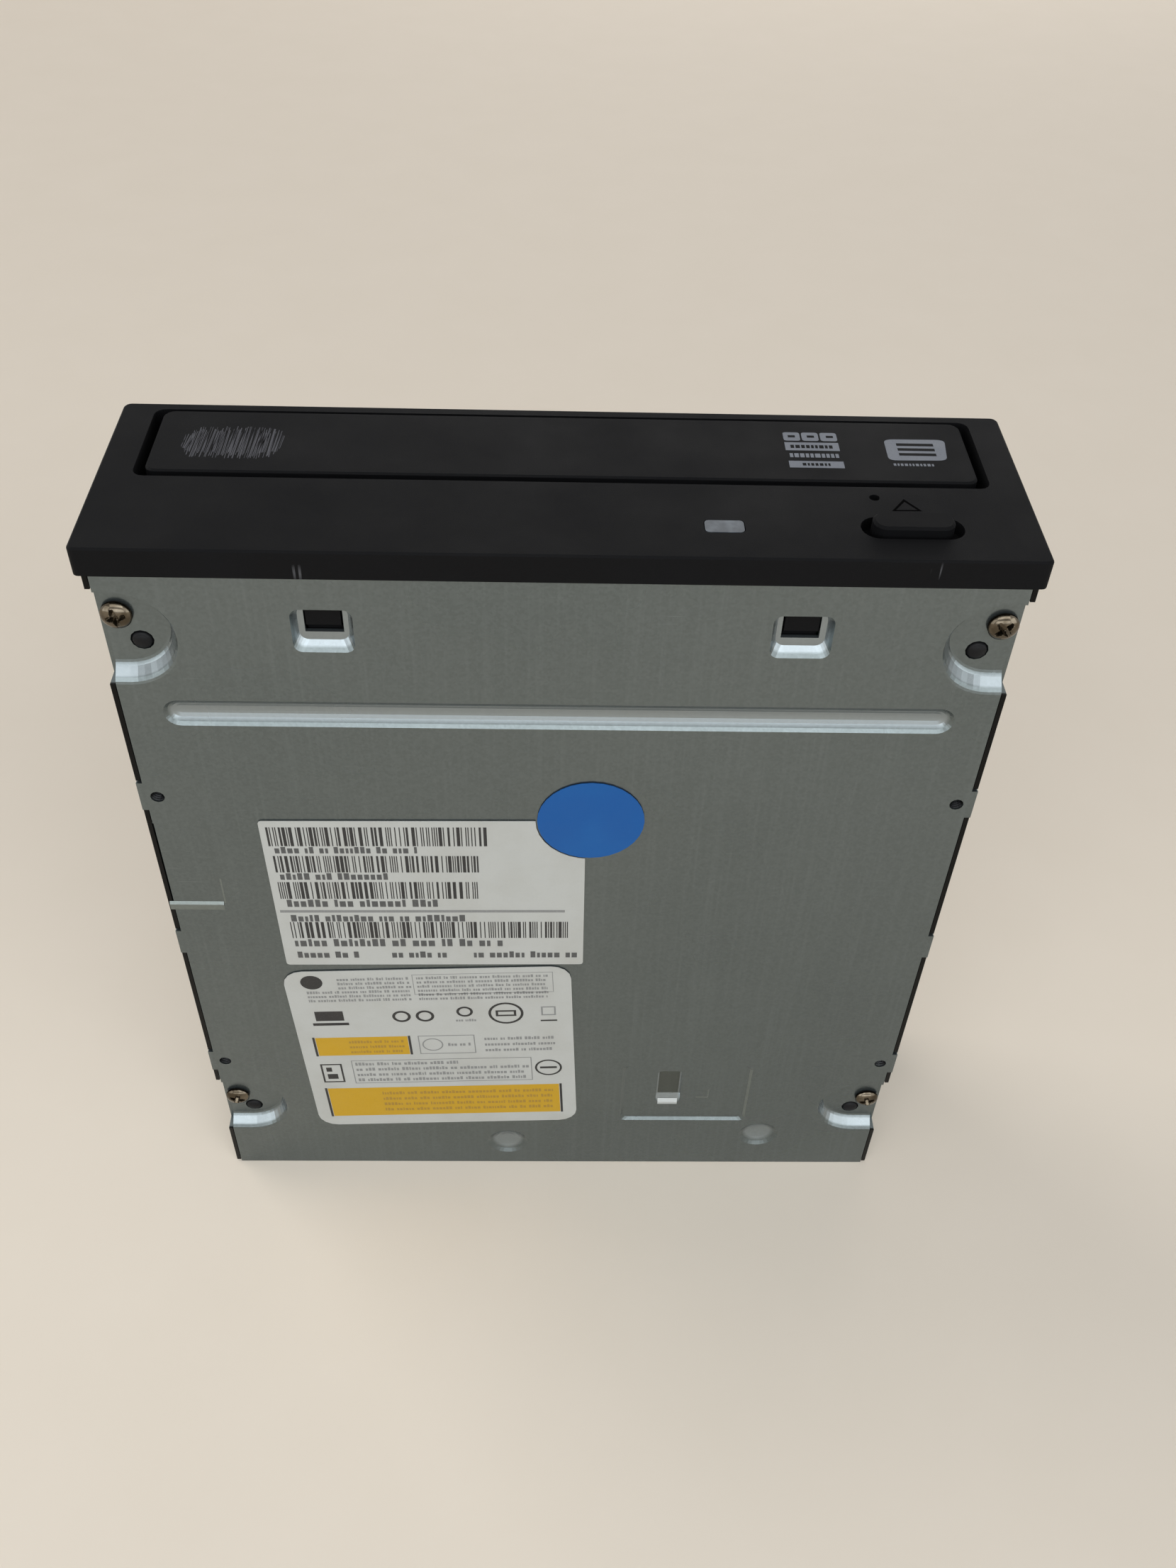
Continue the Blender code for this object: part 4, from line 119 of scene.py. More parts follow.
class Finish:
    """A material made of noise layers that feed one Principled shader."""

    def __init__(self, name, colour, rough, metal=0.0):
        self.material = bpy.data.materials.new(name)
        self.material.use_nodes = True
        self.tree = self.material.node_tree
        self.shader = self.tree.nodes["Principled BSDF"]
        self.place = self.tree.nodes.new("ShaderNodeTexCoord").outputs["Object"]
        self.shader.inputs["Metallic"].default_value = metal
        self.shader.inputs["Roughness"].default_value = rough
        self.shader.inputs["Base Color"].default_value = colour
        self.colour = colour
        self.height = None

    def link(self, output, socket):
        self.tree.links.new(output, socket)

    def noise(self, size, stretch=(1.0, 1.0, 1.0), turn=(0.0, 0.0, 0.0), detail=3.0, harsh=0.55):
        """Noise whose features are about size millimetres, longer where stretch is above 1."""
        place = self.tree.nodes.new("ShaderNodeMapping")
        place.inputs["Scale"].default_value = [1.0 / part for part in stretch]
        place.inputs["Rotation"].default_value = [math.radians(part) for part in turn]
        self.link(self.place, place.inputs["Vector"])
        noise = self.tree.nodes.new("ShaderNodeTexNoise")
        noise.inputs["Scale"].default_value = 1.0 / (size * MM)
        noise.inputs["Detail"].default_value = detail
        noise.inputs["Roughness"].default_value = harsh
        self.link(place.outputs["Vector"], noise.inputs["Vector"])
        return noise.outputs["Fac"]

    def cells(self, size, stretch=(1.0, 1.0, 1.0)):
        """Flat cells about size millimetres across, each with its own value."""
        place = self.tree.nodes.new("ShaderNodeMapping")
        place.inputs["Scale"].default_value = [1.0 / part for part in stretch]
        self.link(self.place, place.inputs["Vector"])
        cells = self.tree.nodes.new("ShaderNodeTexVoronoi")
        cells.inputs["Scale"].default_value = 1.0 / (size * MM)
        self.link(place.outputs["Vector"], cells.inputs["Vector"])
        split = self.tree.nodes.new("ShaderNodeSeparateColor")
        self.link(cells.outputs["Color"], split.inputs["Color"])
        return split.outputs["Red"]

    def span(self, value, low, high, to_low=0.0, to_high=1.0):
        """The part of value between low and high, spread over to_low to to_high."""
        span = self.tree.nodes.new("ShaderNodeMapRange")
        span.inputs["From Min"].default_value = low
        span.inputs["From Max"].default_value = high
        span.inputs["To Min"].default_value = to_low
        span.inputs["To Max"].default_value = to_high
        self.link(value, span.inputs["Value"])
        return span.outputs["Result"]

    def along(self, axis):
        """The place along one axis, in metres."""
        split = self.tree.nodes.new("ShaderNodeSeparateXYZ")
        self.link(self.place, split.inputs["Vector"])
        return split.outputs[axis]

    def near(self, centre, reach):
        """1 at a place, fading to 0 at reach millimetres from it."""
        gap = self.tree.nodes.new("ShaderNodeVectorMath")
        gap.operation = "DISTANCE"
        gap.inputs[1].default_value = centre
        self.link(self.place, gap.inputs[0])
        return self.span(gap.outputs["Value"], reach * 0.2 * MM, reach * MM, 1.0, 0.0)

    def product(self, first, second):
        product = self.tree.nodes.new("ShaderNodeMath")
        product.operation = "MULTIPLY"
        self.link(first, product.inputs[0])
        self.link(second, product.inputs[1])
        return product.outputs["Value"]

    def tint(self, share, colour):
        """Blends the colour so far towards another one where share is high."""
        mix = self.tree.nodes.new("ShaderNodeMix")
        mix.data_type = "RGBA"
        self.link(share, mix.inputs["Factor"])
        if isinstance(self.colour, tuple):
            mix.inputs["A"].default_value = self.colour
        else:
            self.link(self.colour, mix.inputs["A"])
        mix.inputs["B"].default_value = colour
        self.colour = mix.outputs["Result"]
        self.link(self.colour, self.shader.inputs["Base Color"])
        return self

    def gloss(self, share, low, high):
        """Lets the roughness run from low to high with share."""
        self.link(self.span(share, 0.3, 0.7, low, high), self.shader.inputs["Roughness"])
        return self

    def relief(self, height, strength, depth):
        """Adds a bump of about depth millimetres."""
        bump = self.tree.nodes.new("ShaderNodeBump")
        bump.inputs["Strength"].default_value = strength
        bump.inputs["Distance"].default_value = depth * MM
        self.link(height, bump.inputs["Height"])
        if self.height is not None:
            self.link(self.height, bump.inputs["Normal"])
        self.height = bump.outputs["Normal"]
        self.link(self.height, self.shader.inputs["Normal"])
        return self

    def set(self, **values):
        for name, value in values.items():
            self.shader.inputs[name.replace("_", " ")].default_value = value
        return self


def zinc_steel(name, colour, pale, dark, rough, cut_edge_and_gap_shade=False, slope_highlight=False):
    """Satin zinc sheet: fine crystals, faint rolling lines, handling smudges and hair scratches.

    The cut edge flag makes the front rim that faces the bottom plate's side nearly black: partly a
    darker bare cut edge, partly painted shade of the gap between cover and plate. The slope flag
    paints the slopes of the pressings, picked by depth, lighter than the flat sheet: a painted
    highlight that stands for their bright reflection.
    """
    steel = Finish(name, colour, rough, metal=0.85)
    smudge = steel.noise(34.0, detail=4.0, harsh=0.5)
    crystals = steel.cells(0.45)
    lines = steel.noise(0.7, stretch=(1.0, 1.0, 50.0), detail=1.0)
    scratch = steel.noise(0.24, stretch=(46.0, 1.0, 1.0), turn=(0.0, 28.0, 0.0), detail=1.0)
    steel.tint(steel.span(smudge, 0.42, 0.66, 0.0, 0.35), dark)
    steel.tint(steel.span(crystals, 0.0, 1.0, 0.0, 0.10), pale)
    steel.tint(steel.span(lines, 0.5, 0.8, 0.0, 0.07), pale)
    steel.tint(steel.span(scratch, 0.75, 0.80, 0.0, 0.3), pale)
    if cut_edge_and_gap_shade:
        # Painted shade: the front rim goes nearly black for the gap's shadow, as well as for the darker bare
        # cut edge.
        low, high = at(0.0, 0.7, 0.0)[1], at(0.0, 0.95, 0.0)[1]
        steel.tint(steel.span(steel.along("Y"), low, high, 1.0, 0.0), tone(20, 20, 20))
    if slope_highlight:
        # Painted highlight: the pressed slopes between these depths are lightened to stand for their bright
        # reflection.
        shallow, slope, deep, floor = (at(0.0, depth, 0.0)[1] for depth in (0.5, 0.85, 1.9, 2.35))
        entry = steel.span(steel.along("Y"), shallow, slope, 0.0, 0.28)
        leave = steel.span(steel.along("Y"), deep, floor, 1.0, 0.0)
        steel.tint(steel.product(entry, leave), tone(196, 205, 210))
    steel.gloss(smudge, rough - 0.03, rough + 0.06)
    steel.relief(steel.noise(0.3, detail=2.0), 0.05, 0.01)
    return steel.material


def moulded(name, colour, pale, rough, grain, depth, nicks=(), spec=0.12):
    """Moulded plastic with a spark-eroded grain, light scuffs, finger marks and scraped nicks."""
    plastic = Finish(name, colour, rough)
    marks = plastic.noise(14.0, detail=4.0)
    scuffs = plastic.noise(0.3, stretch=(14.0, 1.0, 1.0), turn=(0.0, 34.0, 12.0), detail=2.0)
    plastic.tint(plastic.span(marks, 0.45, 0.75, 0.0, 0.2), pale)
    plastic.tint(plastic.span(scuffs, 0.71, 0.80, 0.0, 0.30), pale)
    for centre in nicks:
        lines = plastic.span(plastic.noise(0.6, stretch=(1.0, 1.0, 30.0), detail=0.0), 0.56, 0.64)
        plastic.tint(plastic.product(plastic.near(centre, 1.7), lines), tone(70, 70, 72))
    plastic.gloss(marks, rough - 0.06, rough + 0.08)
    plastic.relief(plastic.noise(grain, detail=1.0), 0.35, depth)
    plastic.set(Specular_IOR_Level=spec)
    return plastic.material


def paper(name, colour, stain, rough):
    """Coated label paper with fibres, faint stains and the sheet's waves under it."""
    sheet = Finish(name, colour, rough)
    sheet.tint(sheet.span(sheet.noise(11.0, detail=5.0), 0.45, 0.7, 0.0, 0.45), stain)
    sheet.tint(sheet.span(sheet.noise(0.5, detail=2.0), 0.5, 0.8, 0.0, 0.18), stain)
    sheet.gloss(sheet.noise(8.0), rough - 0.08, rough + 0.08)
    sheet.relief(sheet.noise(0.22, detail=2.0), 0.10, 0.01)
    sheet.relief(sheet.noise(6.0, detail=2.0), 0.18, 0.12)
    sheet.set(Specular_IOR_Level=0.3)
    return sheet.material


def ink(name, colour, pale, rough=0.5):
    """Printing ink that has worn thin in specks."""
    film = Finish(name, colour, rough)
    film.tint(film.span(film.noise(0.35, detail=3.0), 0.52, 0.72, 0.0, 0.35), pale)
    film.gloss(film.noise(5.0), rough - 0.06, rough + 0.1)
    return film.material


def polished(name, colour, pale, rough):
    """Turned or plated metal with fine tool marks."""
    metal = Finish(name, colour, rough, metal=0.95)
    marks = metal.noise(0.12, stretch=(1.0, 1.0, 30.0), detail=2.0)
    metal.tint(metal.span(metal.noise(2.5, detail=3.0), 0.45, 0.7, 0.0, 0.4), pale)
    metal.gloss(marks, rough - 0.02, rough + 0.05)
    metal.relief(marks, 0.03, 0.006)
    return metal.material


def circuit_board(name, colour, copper):
    """Solder mask over copper: large poured areas and thin tracks."""
    board = Finish(name, colour, 0.36)
    board.tint(board.span(board.cells(9.0), 0.45, 0.5, 0.0, 0.18), copper)
    tracks = board.noise(0.7, stretch=(1.0, 1.0, 40.0), detail=0.0)
    board.tint(board.span(tracks, 0.58, 0.60, 0.0, 0.4), copper)
    board.relief(tracks, 0.3, 0.05)
    board.set(Coat_Weight=0.3, Coat_Roughness=0.25)
    return board.material


def clear_part(name, colour, rough):
    """Plastic for clear parts, drawn opaque: a tinted colour with cloudy patches under a glossy coat."""
    part = Finish(name, colour, rough)
    part.tint(part.span(part.noise(2.6, detail=2.0), 0.4, 0.7, 0.0, 0.2), tone(170, 180, 190))
    part.relief(part.noise(0.6), 0.05, 0.02)
    part.set(Coat_Weight=0.6, Coat_Roughness=0.08)
    return part.material


NICKS = (at(-40.2, -0.35, 167.6), at(57.0, -0.35, 169.6))

ZINC = (tone(101, 108, 108), tone(146, 155, 158), tone(90, 97, 96), 0.24)
# The plate carries a painted highlight on its pressed slopes.
PLATE_STEEL = zinc_steel("plate_steel", *ZINC, slope_highlight=True)
# The cover's front rim carries painted shade of the gap, together with its darker cut edge.
COVER_STEEL = zinc_steel("cover_steel", *ZINC, cut_edge_and_gap_shade=True)
# Near-white zinc for the painted highlight on the window's lip.
LIP_HIGHLIGHT = (tone(206, 214, 218), tone(224, 230, 233), tone(180, 188, 192), 0.3)
# Paler zinc for painted highlight on slopes and for pale lines.
SHEEN_AND_PALE_LINES = (tone(118, 125, 122), tone(156, 163, 162), tone(106, 112, 109), 0.3)
# Darker zinc for the painted shade on the window's floor.
SHADED = (tone(84, 88, 84), tone(112, 118, 116), tone(76, 80, 76), 0.34)
BRIDGE = (tone(140, 146, 150), tone(176, 182, 186), tone(110, 113, 114), 0.32)
LIP_HIGHLIGHT_STEEL = zinc_steel("lip_highlight_steel", *LIP_HIGHLIGHT)
SHEEN_AND_PALE_LINE_STEEL = zinc_steel("sheen_and_pale_line_steel", *SHEEN_AND_PALE_LINES)
SHADED_STEEL = zinc_steel("shaded_steel", *SHADED)
BRIDGE_STEEL = zinc_steel("bridge_steel", *BRIDGE)
# Near-black steel for painted shade in the tapped holes.
HOLE_SHADE_STEEL = polished("tapped_hole_shade", tone(26, 26, 27), tone(56, 57, 58), 0.3)
BLACK = moulded("bezel_plastic", tone(12, 12, 13), tone(24, 24, 26), 0.62, 0.16, 0.05, NICKS, 0.07)
# Near-black matt mark colour: painted shade of the engraved eject triangle.
ENGRAVING_SHADE = moulded("engraving_shade", tone(2, 2, 2), tone(7, 7, 8), 0.9, 0.16, 0.05, spec=0.02)
BUTTON_BLACK = moulded("button_plastic", tone(10, 10, 11), tone(20, 20, 22), 0.6, 0.14, 0.03, spec=0.06)
FRAME = moulded("frame_plastic", tone(20, 20, 21), tone(38, 38, 41), 0.42, 0.35, 0.03)
TRAY = moulded("tray_plastic", tone(33, 34, 36), tone(58, 59, 62), 0.42, 0.2, 0.04)
WHITE = moulded("white_plastic", tone(206, 204, 196), tone(222, 220, 214), 0.42, 0.4, 0.02)
RUBBER = moulded("rubber", tone(28, 27, 27), tone(54, 52, 51), 0.72, 0.18, 0.03)
PAPER = paper("label_paper", tone(170, 171, 167), tone(157, 156, 149), 0.52)
BLUE = paper("blue_sticker", tone(0, 74, 138), tone(8, 84, 146), 0.5)
CABLE = paper("cable_film", tone(205, 205, 200), tone(188, 186, 180), 0.38)
DARK_INK = ink("dark_ink", tone(22, 22, 23), tone(62, 62, 61))
TEXT_INK = ink("text_ink", tone(66, 67, 67), tone(108, 109, 107))
GREY_INK = ink("grey_ink", tone(118, 119, 118), tone(146, 147, 144))
FIELD_INK = ink("field_ink", tone(146, 112, 34), tone(172, 136, 44))
YELLOW_INK = ink("yellow_ink", tone(176, 137, 0), tone(160, 126, 18))
PALE_INK = ink("pale_ink", tone(108, 112, 120), tone(76, 79, 86))
WORN_INK = ink("worn_ink", tone(58, 58, 64), tone(30, 30, 33), rough=0.6)
NICKEL = polished("nickel_screw", tone(78, 70, 58), tone(150, 140, 124), 0.10)
BRIGHT = polished("bright_metal", tone(168, 171, 175), tone(200, 203, 206), 0.24)
GOLD = polished("gold_contact", tone(206, 164, 88), tone(228, 194, 120), 0.24)
BOARD = circuit_board("solder_mask", tone(18, 62, 40), tone(34, 92, 58))
CHIP = moulded("chip_resin", tone(30, 30, 31), tone(46, 46, 48), 0.46, 0.12, 0.02)
LENS = clear_part("clear_lens", tone(150, 168, 188), 0.16)
LED = clear_part("window_lens", tone(62, 69, 76), 0.30)

NODE_FINISH = {
    PLATE_STEEL: ("bottom_plate",),
    COVER_STEEL: ("top_cover",),
    BRIDGE_STEEL: ("clamp_bridge",),
    BLACK: ("front_bezel", "tray_door"),
    BUTTON_BLACK: ("eject_button",),
    FRAME: ("main_frame", "lift_frame", "pickup", "turntable", "sata_socket"),
    TRAY: ("disc_tray",),
    WHITE: ("cam_slider", "tray_gear", "pulley_gear", "motor_pulley", "clamper", "switch_plunger"),
    RUBBER: ("drive_belt", "damper_1", "damper_2", "damper_3", "damper_4"),
    BOARD: ("main_board", "front_board"),
    CHIP: ("main_chip", "driver_chip", "eject_switch"),
    BRIGHT: (
        "loading_motor",
        "traverse_chassis",
        "spindle_motor",
        "sled_motor",
        "guide_rod_left",
        "guide_rod_right",
        "damper_screw_1",
        "damper_screw_2",
        "damper_screw_3",
        "damper_screw_4",
        "lead_screw",
    ),
    NICKEL: ("cover_screw_1", "cover_screw_2", "cover_screw_3", "cover_screw_4"),
    PAPER: ("upper_label", "lower_label"),
    BLUE: ("round_sticker",),
    CABLE: ("flat_cable",),
    LENS: ("objective_lens",),
    LED: ("led_lens",),
}


def dress_nodes():
    for finish, names in NODE_FINISH.items():
        for name in names:
            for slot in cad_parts[name].material_slots:
                slot.material = finish


# Mesh building


def piece(name, points, faces, finish, body, smooth=False):
    """A mesh object from points in metres, which rides on a body."""
    mesh = bpy.data.meshes.new(name)
    mesh.from_pydata([tuple(point) for point in points], [], faces)
    mesh.materials.append(finish)
    shape = bmesh.new()
    shape.from_mesh(mesh)
    bmesh.ops.recalc_face_normals(shape, faces=shape.faces)
    shape.to_mesh(mesh)
    shape.free()
    if smooth:
        mesh.shade_smooth()
    made = bpy.data.objects.new(name, mesh)
    bpy.context.scene.collection.objects.link(made)
    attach(made, body)
    return made


class Shapes:
    """Points and faces that are gathered for one piece."""

    def __init__(self):
        self.points = []
        self.faces = []

    def patch(self, corners):
        start = len(self.points)
        self.points.extend(corners)
        self.faces.append(tuple(range(start, start + len(corners))))

    def box(self, low, high):
        """A box between two corners in metres."""
        start = len(self.points)
        plan = ((low[0], low[1]), (high[0], low[1]), (high[0], high[1]), (low[0], high[1]))
        for up in (low[2], high[2]):
            for across, along in plan:
                self.points.append(Vector((across, along, up)))
        for face in ((0, 3, 2, 1), (4, 5, 6, 7), (0, 1, 5, 4), (1, 2, 6, 5), (2, 3, 7, 6), (3, 0, 4, 7)):
            self.faces.append(tuple(start + index for index in face))

    def revolve(self, centre, axis, profile, steps=32):
        """Turns (radius, along) pairs in millimetres about an axis through centre."""
        axis = Vector(axis)
        side = axis.orthogonal().normalized()
        other = axis.cross(side)
        start = len(self.points)
        for radius, along in profile:
            for step in range(steps):
                angle = 2.0 * math.pi * step / steps
                ray = side * math.cos(angle) + other * math.sin(angle)
                self.points.append(centre + axis * along * MM + ray * radius * MM)
        for row in range(len(profile) - 1):
            for step in range(steps):
                after = (step + 1) % steps
                low = start + row * steps
                high = low + steps
                self.faces.append((low + step, low + after, high + after, high + step))

    def made(self, name, finish, body, slot, smooth=False):
        return piece(name, self.points, self.faces, finish, body, smooth)


class Print:
    """Flat marks on a label, placed by (right, up) millimetres from the label's centre."""

    def __init__(self, centre_across, centre_up, turn):
        self.centre = (centre_across, centre_up)
        self.cos = math.cos(math.radians(turn))
        self.sin = math.sin(math.radians(turn))
        self.shapes = Shapes()

    def spot(self, right, up):
        across = self.centre[0] + right * self.cos - up * self.sin
        return at(across, PRINT_DEPTH, self.centre[1] + right * self.sin + up * self.cos)

    def bar(self, left, low, right, high):
        corners = ((left, low), (right, low), (right, high), (left, high))
        self.shapes.patch([self.spot(*corner) for corner in corners])

    def outline(self, left, low, right, high, line=0.25):
        self.bar(left, low, right, low + line)
        self.bar(left, high - line, right, high)
        self.bar(left, low + line, left + line, high - line)
        self.bar(right - line, low + line, right, high - line)

    def stripes(self, left, low, right, high, seed, thin=0.2):
        """Upright stripes of seeded random widths, as in a barcode."""
        dice = random.Random(seed)
        place = left
        while place < right - thin:
            wide = thin * dice.choice((1, 1, 1, 2, 3))
            self.bar(place, low, min(place + wide, right), high)
            place += wide + thin * dice.choice((1, 1, 2, 3))

    def words(self, left, low, right, high, seed):
        """A line of plain small blocks in groups, which stands for a line of text."""
        dice = random.Random(seed)
        tall = high - low
        place = left
        while place < right - tall * 0.5:
            for _ in range(dice.randint(2, 8)):
                wide = tall * dice.choice((0.3, 0.45, 0.5, 0.55))
                if place + wide > right:
                    break
                top = high if dice.random() < 0.35 else high - tall * 0.22
                self.bar(place, low, place + wide, top)
                place += wide + tall * 0.17
            place += tall * 0.45

    def ring(self, right, up, radius, line):
        """A round line, or a filled disc where the line is as wide as the radius."""
        steps = 28
        inner = radius - line
        rays = []
        for step in range(steps + 1):
            angle = math.radians(360.0 * step / steps)
            rays.append((math.cos(angle), math.sin(angle)))
        for first, second in zip(rays, rays[1:]):
            corners = ((first, inner), (first, radius), (second, radius), (second, inner))
            self.shapes.patch([self.spot(right + x * reach, up + y * reach) for (x, y), reach in corners])

    def made(self, name, finish):
        return self.shapes.made(name, finish, "case", "label_paper")


# Printed labels


def upper_label_print():
    """Striped fields and lines of plain blocks."""
    dark = Print(*UPPER_LABEL)
    soft = Print(*UPPER_LABEL)
    rows = (
        (-27.85, 13.8, 11.6, 18.7),
        (-27.5, 6.75, 9.6, 11.2),
        (-27.6, -0.6, 9.3, 4.1),
        (-26.8, -12.1, 26.2, -7.3),
    )
    for seed, row in enumerate(rows):
        dark.stripes(*row, seed=40 + seed)
    lines = (
        (-26.95, 11.9, -0.9, 13.6),
        (-26.9, 4.75, -6.3, 6.55),
        (-26.6, -2.9, 2.1, -0.85),
        (-26.4, -7.15, 6.6, -5.25),
        (-26.6, -14.6, 13.8, -12.4),
        (-26.5, -18.1, -14.5, -16.2),
        (-8.2, -18.1, 3.0, -16.2),
        (7.7, -18.1, 28.0, -16.2),
    )
    for seed, line in enumerate(lines):
        soft.words(*line, seed=60 + seed)
    dark.made("upper_label_print", DARK_INK)
    soft.made("upper_label_text", TEXT_INK)
    grey = Print(*UPPER_LABEL)
    grey.bar(-28.2, -4.55, 25.4, -3.85)
    grey.made("upper_label_rule", GREY_INK)


def lower_label_print():
    """Plain marks, small lines in grey and two plain yellow fields."""
    dark = Print(*LOWER_LABEL)
    grey = Print(*LOWER_LABEL)
    brown = Print(*LOWER_LABEL)
    yellow = Print(*LOWER_LABEL)
    for row in range(6):
        high = 25.2 - row * 1.35
        grey.words(-18.0 if row < 3 else -24.5, high - 0.85, -3.4, high, seed=80 + row)
        grey.words(-2.2, high - 0.85, 24.0, high, seed=90 + row)
    grey.outline(-3.0, 19.4, 25.0, 25.9, 0.14)
    dark.ring(-23.1, 24.0, 2.2, 2.2)
    dark.bar(-24.8, 9.6, -17.4, 10.5)
    dark.bar(-24.0, 11.2, -18.2, 14.4)
    dark.ring(-6.4, 12.2, 1.9, 0.6)
    dark.ring(-1.6, 12.2, 1.9, 0.6)
    dark.ring(6.6, 13.4, 1.7, 0.55)
    grey.words(4.6, 10.1, 8.8, 10.9, seed=100)
    dark.ring(15.0, 12.6, 3.6, 0.55)
    dark.outline(12.9, 11.6, 17.1, 13.6, 0.5)
    grey.outline(22.2, 11.6, 25.2, 14.6, 0.35)
    dark.bar(22.0, 9.6, 25.4, 10.1)
    grey.outline(-3.8, -1.1, 8.0, 5.4, 0.22)
    grey.ring(-0.9, 2.2, 2.2, 0.3)
    grey.words(2.3, 1.6, 7.2, 2.6, seed=102)
    for row in range(3):
        high = 4.4 - row * 2.0
        grey.words(10.0, high - 1.0, 25.0, high, seed=110 + row)
    dark.outline(-25.5, -10.9, -20.9, -4.1, 0.4)
    dark.bar(-24.4, -9.6, -22.2, -7.8)
    dark.bar(-24.4, -6.9, -23.2, -5.4)
    grey.outline(-18.8, -11.5, 19.5, -3.0, 0.2)
    for row in range(4):
        high = -3.8 - row * 1.95
        grey.words(-18.0, high - 1.1, 18.9 if row else 4.0, high, seed=120 + row)
    dark.ring(23.0, -7.0, 2.9, 0.45)
    dark.bar(21.2, -7.3, 24.8, -6.6)
    for row in range(4):
        high = -14.9 - row * 2.1
        brown.words(-13.5, high - 1.1, 24.0, high, seed=140 + row)
    for row in range(3):
        high = 4.1 - row * 1.75
        brown.words(-18.3, high - 0.9, -6.8, high, seed=150 + row)
    yellow.bar(-25.15, -24.05, 25.05, -13.25)
    yellow.bar(-25.15, -1.05, -5.95, 5.35)
    field_ends = ((-25.75, -24.2, -13.1), (25.15, -24.2, -13.1), (-25.75, -1.2, 5.5), (-5.85, -1.2, 5.5))
    for left, low, high in field_ends:
        dark.bar(left, low, left + 0.5, high)
    dark.made("lower_label_print", DARK_INK)
    grey.made("lower_label_text", GREY_INK)
    brown.made("lower_label_field_text", FIELD_INK)
    fields = yellow.made("lower_label_fields", YELLOW_INK)
    under_text = 0.006 * MM
    for point in fields.data.vertices:
        point.co.y += under_text


# Marks on the bezel


def face_patch(shapes, corners, up):
    """A flat mark on the bezel's face, from (across, depth) corners."""
    shapes.patch([at(across, depth, up) for across, depth in corners])


def face_bar(shapes, left, low, right, high, up):
    face_patch(shapes, ((left, low), (right, low), (right, high), (left, high)), up)


def face_frame(shapes, outer, line, up):
    """A closed line round (across, depth) corners."""
    middle = (sum(a for a, _ in outer) / len(outer), sum(b for _, b in outer) / len(outer))
    inner = []
    for across, depth in outer:
        away = Vector((across - middle[0], depth - middle[1]))
        inner.append((across - away.x * line / away.length, depth - away.y * line / away.length))
    for index in range(len(outer)):
        after = (index + 1) % len(outer)
        face_patch(shapes, (outer[index], outer[after], inner[after], inner[index]), up)


def bowed(corners, steps=5, bow=0.25):
    """The corners' outline with soft corners and slightly bowed edges."""
    points = []
    count = len(corners)
    for index in range(count):
        before, here, after = (Vector(corners[(index + shift) % count]) for shift in (-1, 0, 1))
        start = here.lerp(before, bow)
        end = here.lerp(after, bow)
        for step in range(steps + 1):
            share = step / steps
            point = start.lerp(here, share).lerp(here.lerp(end, share), share)
            points.append((point.x, point.y))
    return points


def face_blocks(shapes, left, low, right, high, seed, up):
    """A row of small plain blocks, which stands for a caption."""
    dice = random.Random(seed)
    place = left
    while place < right - 0.3:
        wide = min((high - low) * dice.choice((0.45, 0.6, 0.75)), right - place)
        face_bar(shapes, place, low, place + wide, high, up)
        place += wide + 0.22


def door_marks():
    """Plain generic marks on the tray door, where such doors carry print, and one that has worn off."""
    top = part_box("tray_door")[1][2] / MM + DOOR_PRINT_LIFT
    marks = Shapes()
    badge = bowed(((53.3, 34.0), (63.6, 34.1), (62.9, 27.7), (53.2, 27.5)), bow=0.16)
    face_patch(marks, badge, top)
    face_blocks(marks, 53.8, 25.9, 60.9, 26.6, 7, top)
    for left in (36.5, 39.6, 42.7):
        right = left + 2.8
        face_patch(marks, bowed(((left, 33.1), (right, 33.1), (right, 35.7), (left, 35.7)), bow=0.2), top)
    face_bar(marks, 36.5, 30.1, 45.5, 32.6, top)
    face_blocks(marks, 37.0, 28.0, 45.2, 29.2, 8, top)
    face_bar(marks, 36.6, 24.9, 45.6, 26.9, top)
    marks.made("door_marks", PALE_INK, "tray", "black_plastic")
    gaps = Shapes()
    gap_top = top + DOOR_GAP_LIFT
    for low in (29.0, 30.5, 32.0):
        face_bar(gaps, 55.2, low, 61.4, low + 0.8, gap_top)
    for left in (37.3, 40.5, 43.7):
        face_bar(gaps, left, 34.1, left + 1.2, 34.8, gap_top)
    face_blocks(gaps, 37.4, 30.8, 44.8, 31.8, 9, gap_top)
    face_blocks(gaps, 38.8, 25.5, 43.4, 26.3, 10, gap_top)
    gaps.made("door_mark_gaps", BLACK, "tray", "black_plastic")
    worn_mark(top)


def worn_mark(top):
    """Thin leaning slivers of print inside an oval, which is what is left of a rubbed off mark."""
    worn = Shapes()
    dice = random.Random(31)
    middle = (-54.2, 29.6)
    half_wide, half_high = 8.4, 5.1
    place, end = -62.3, -46.2
    while place < end:
        wide = dice.uniform(0.05, 0.17)
        reach = half_high * (1.0 - (abs(place - middle[0]) / half_wide) ** 5) ** 0.5
        low = middle[1] - reach * dice.uniform(0.55, 1.0)
        high = middle[1] + reach * dice.uniform(0.6, 1.0)
        lean = dice.uniform(0.0, 0.5)
        right = place + wide
        face_patch(worn, ((place, low), (right, low), (right + lean, high), (place + lean, high)), top)
        place += dice.uniform(0.1, 0.3)
    worn.made("worn_door_mark", WORN_INK, "tray", "black_plastic")


def eject_mark():
    """The triangle beside the button, as a flat near-black line: painted shade that makes it look sunk."""
    marks = Shapes()
    corners = ((51.3, 12.8), (56.1, 12.9), (53.7, 16.2))
    face_frame(marks, corners, 0.75, BEZEL_FACE + ENGRAVING_SHADE_MARK_LIFT)
    marks.made("eject_mark", ENGRAVING_SHADE, "case", "black_plastic")


# Fasteners and other metal detail


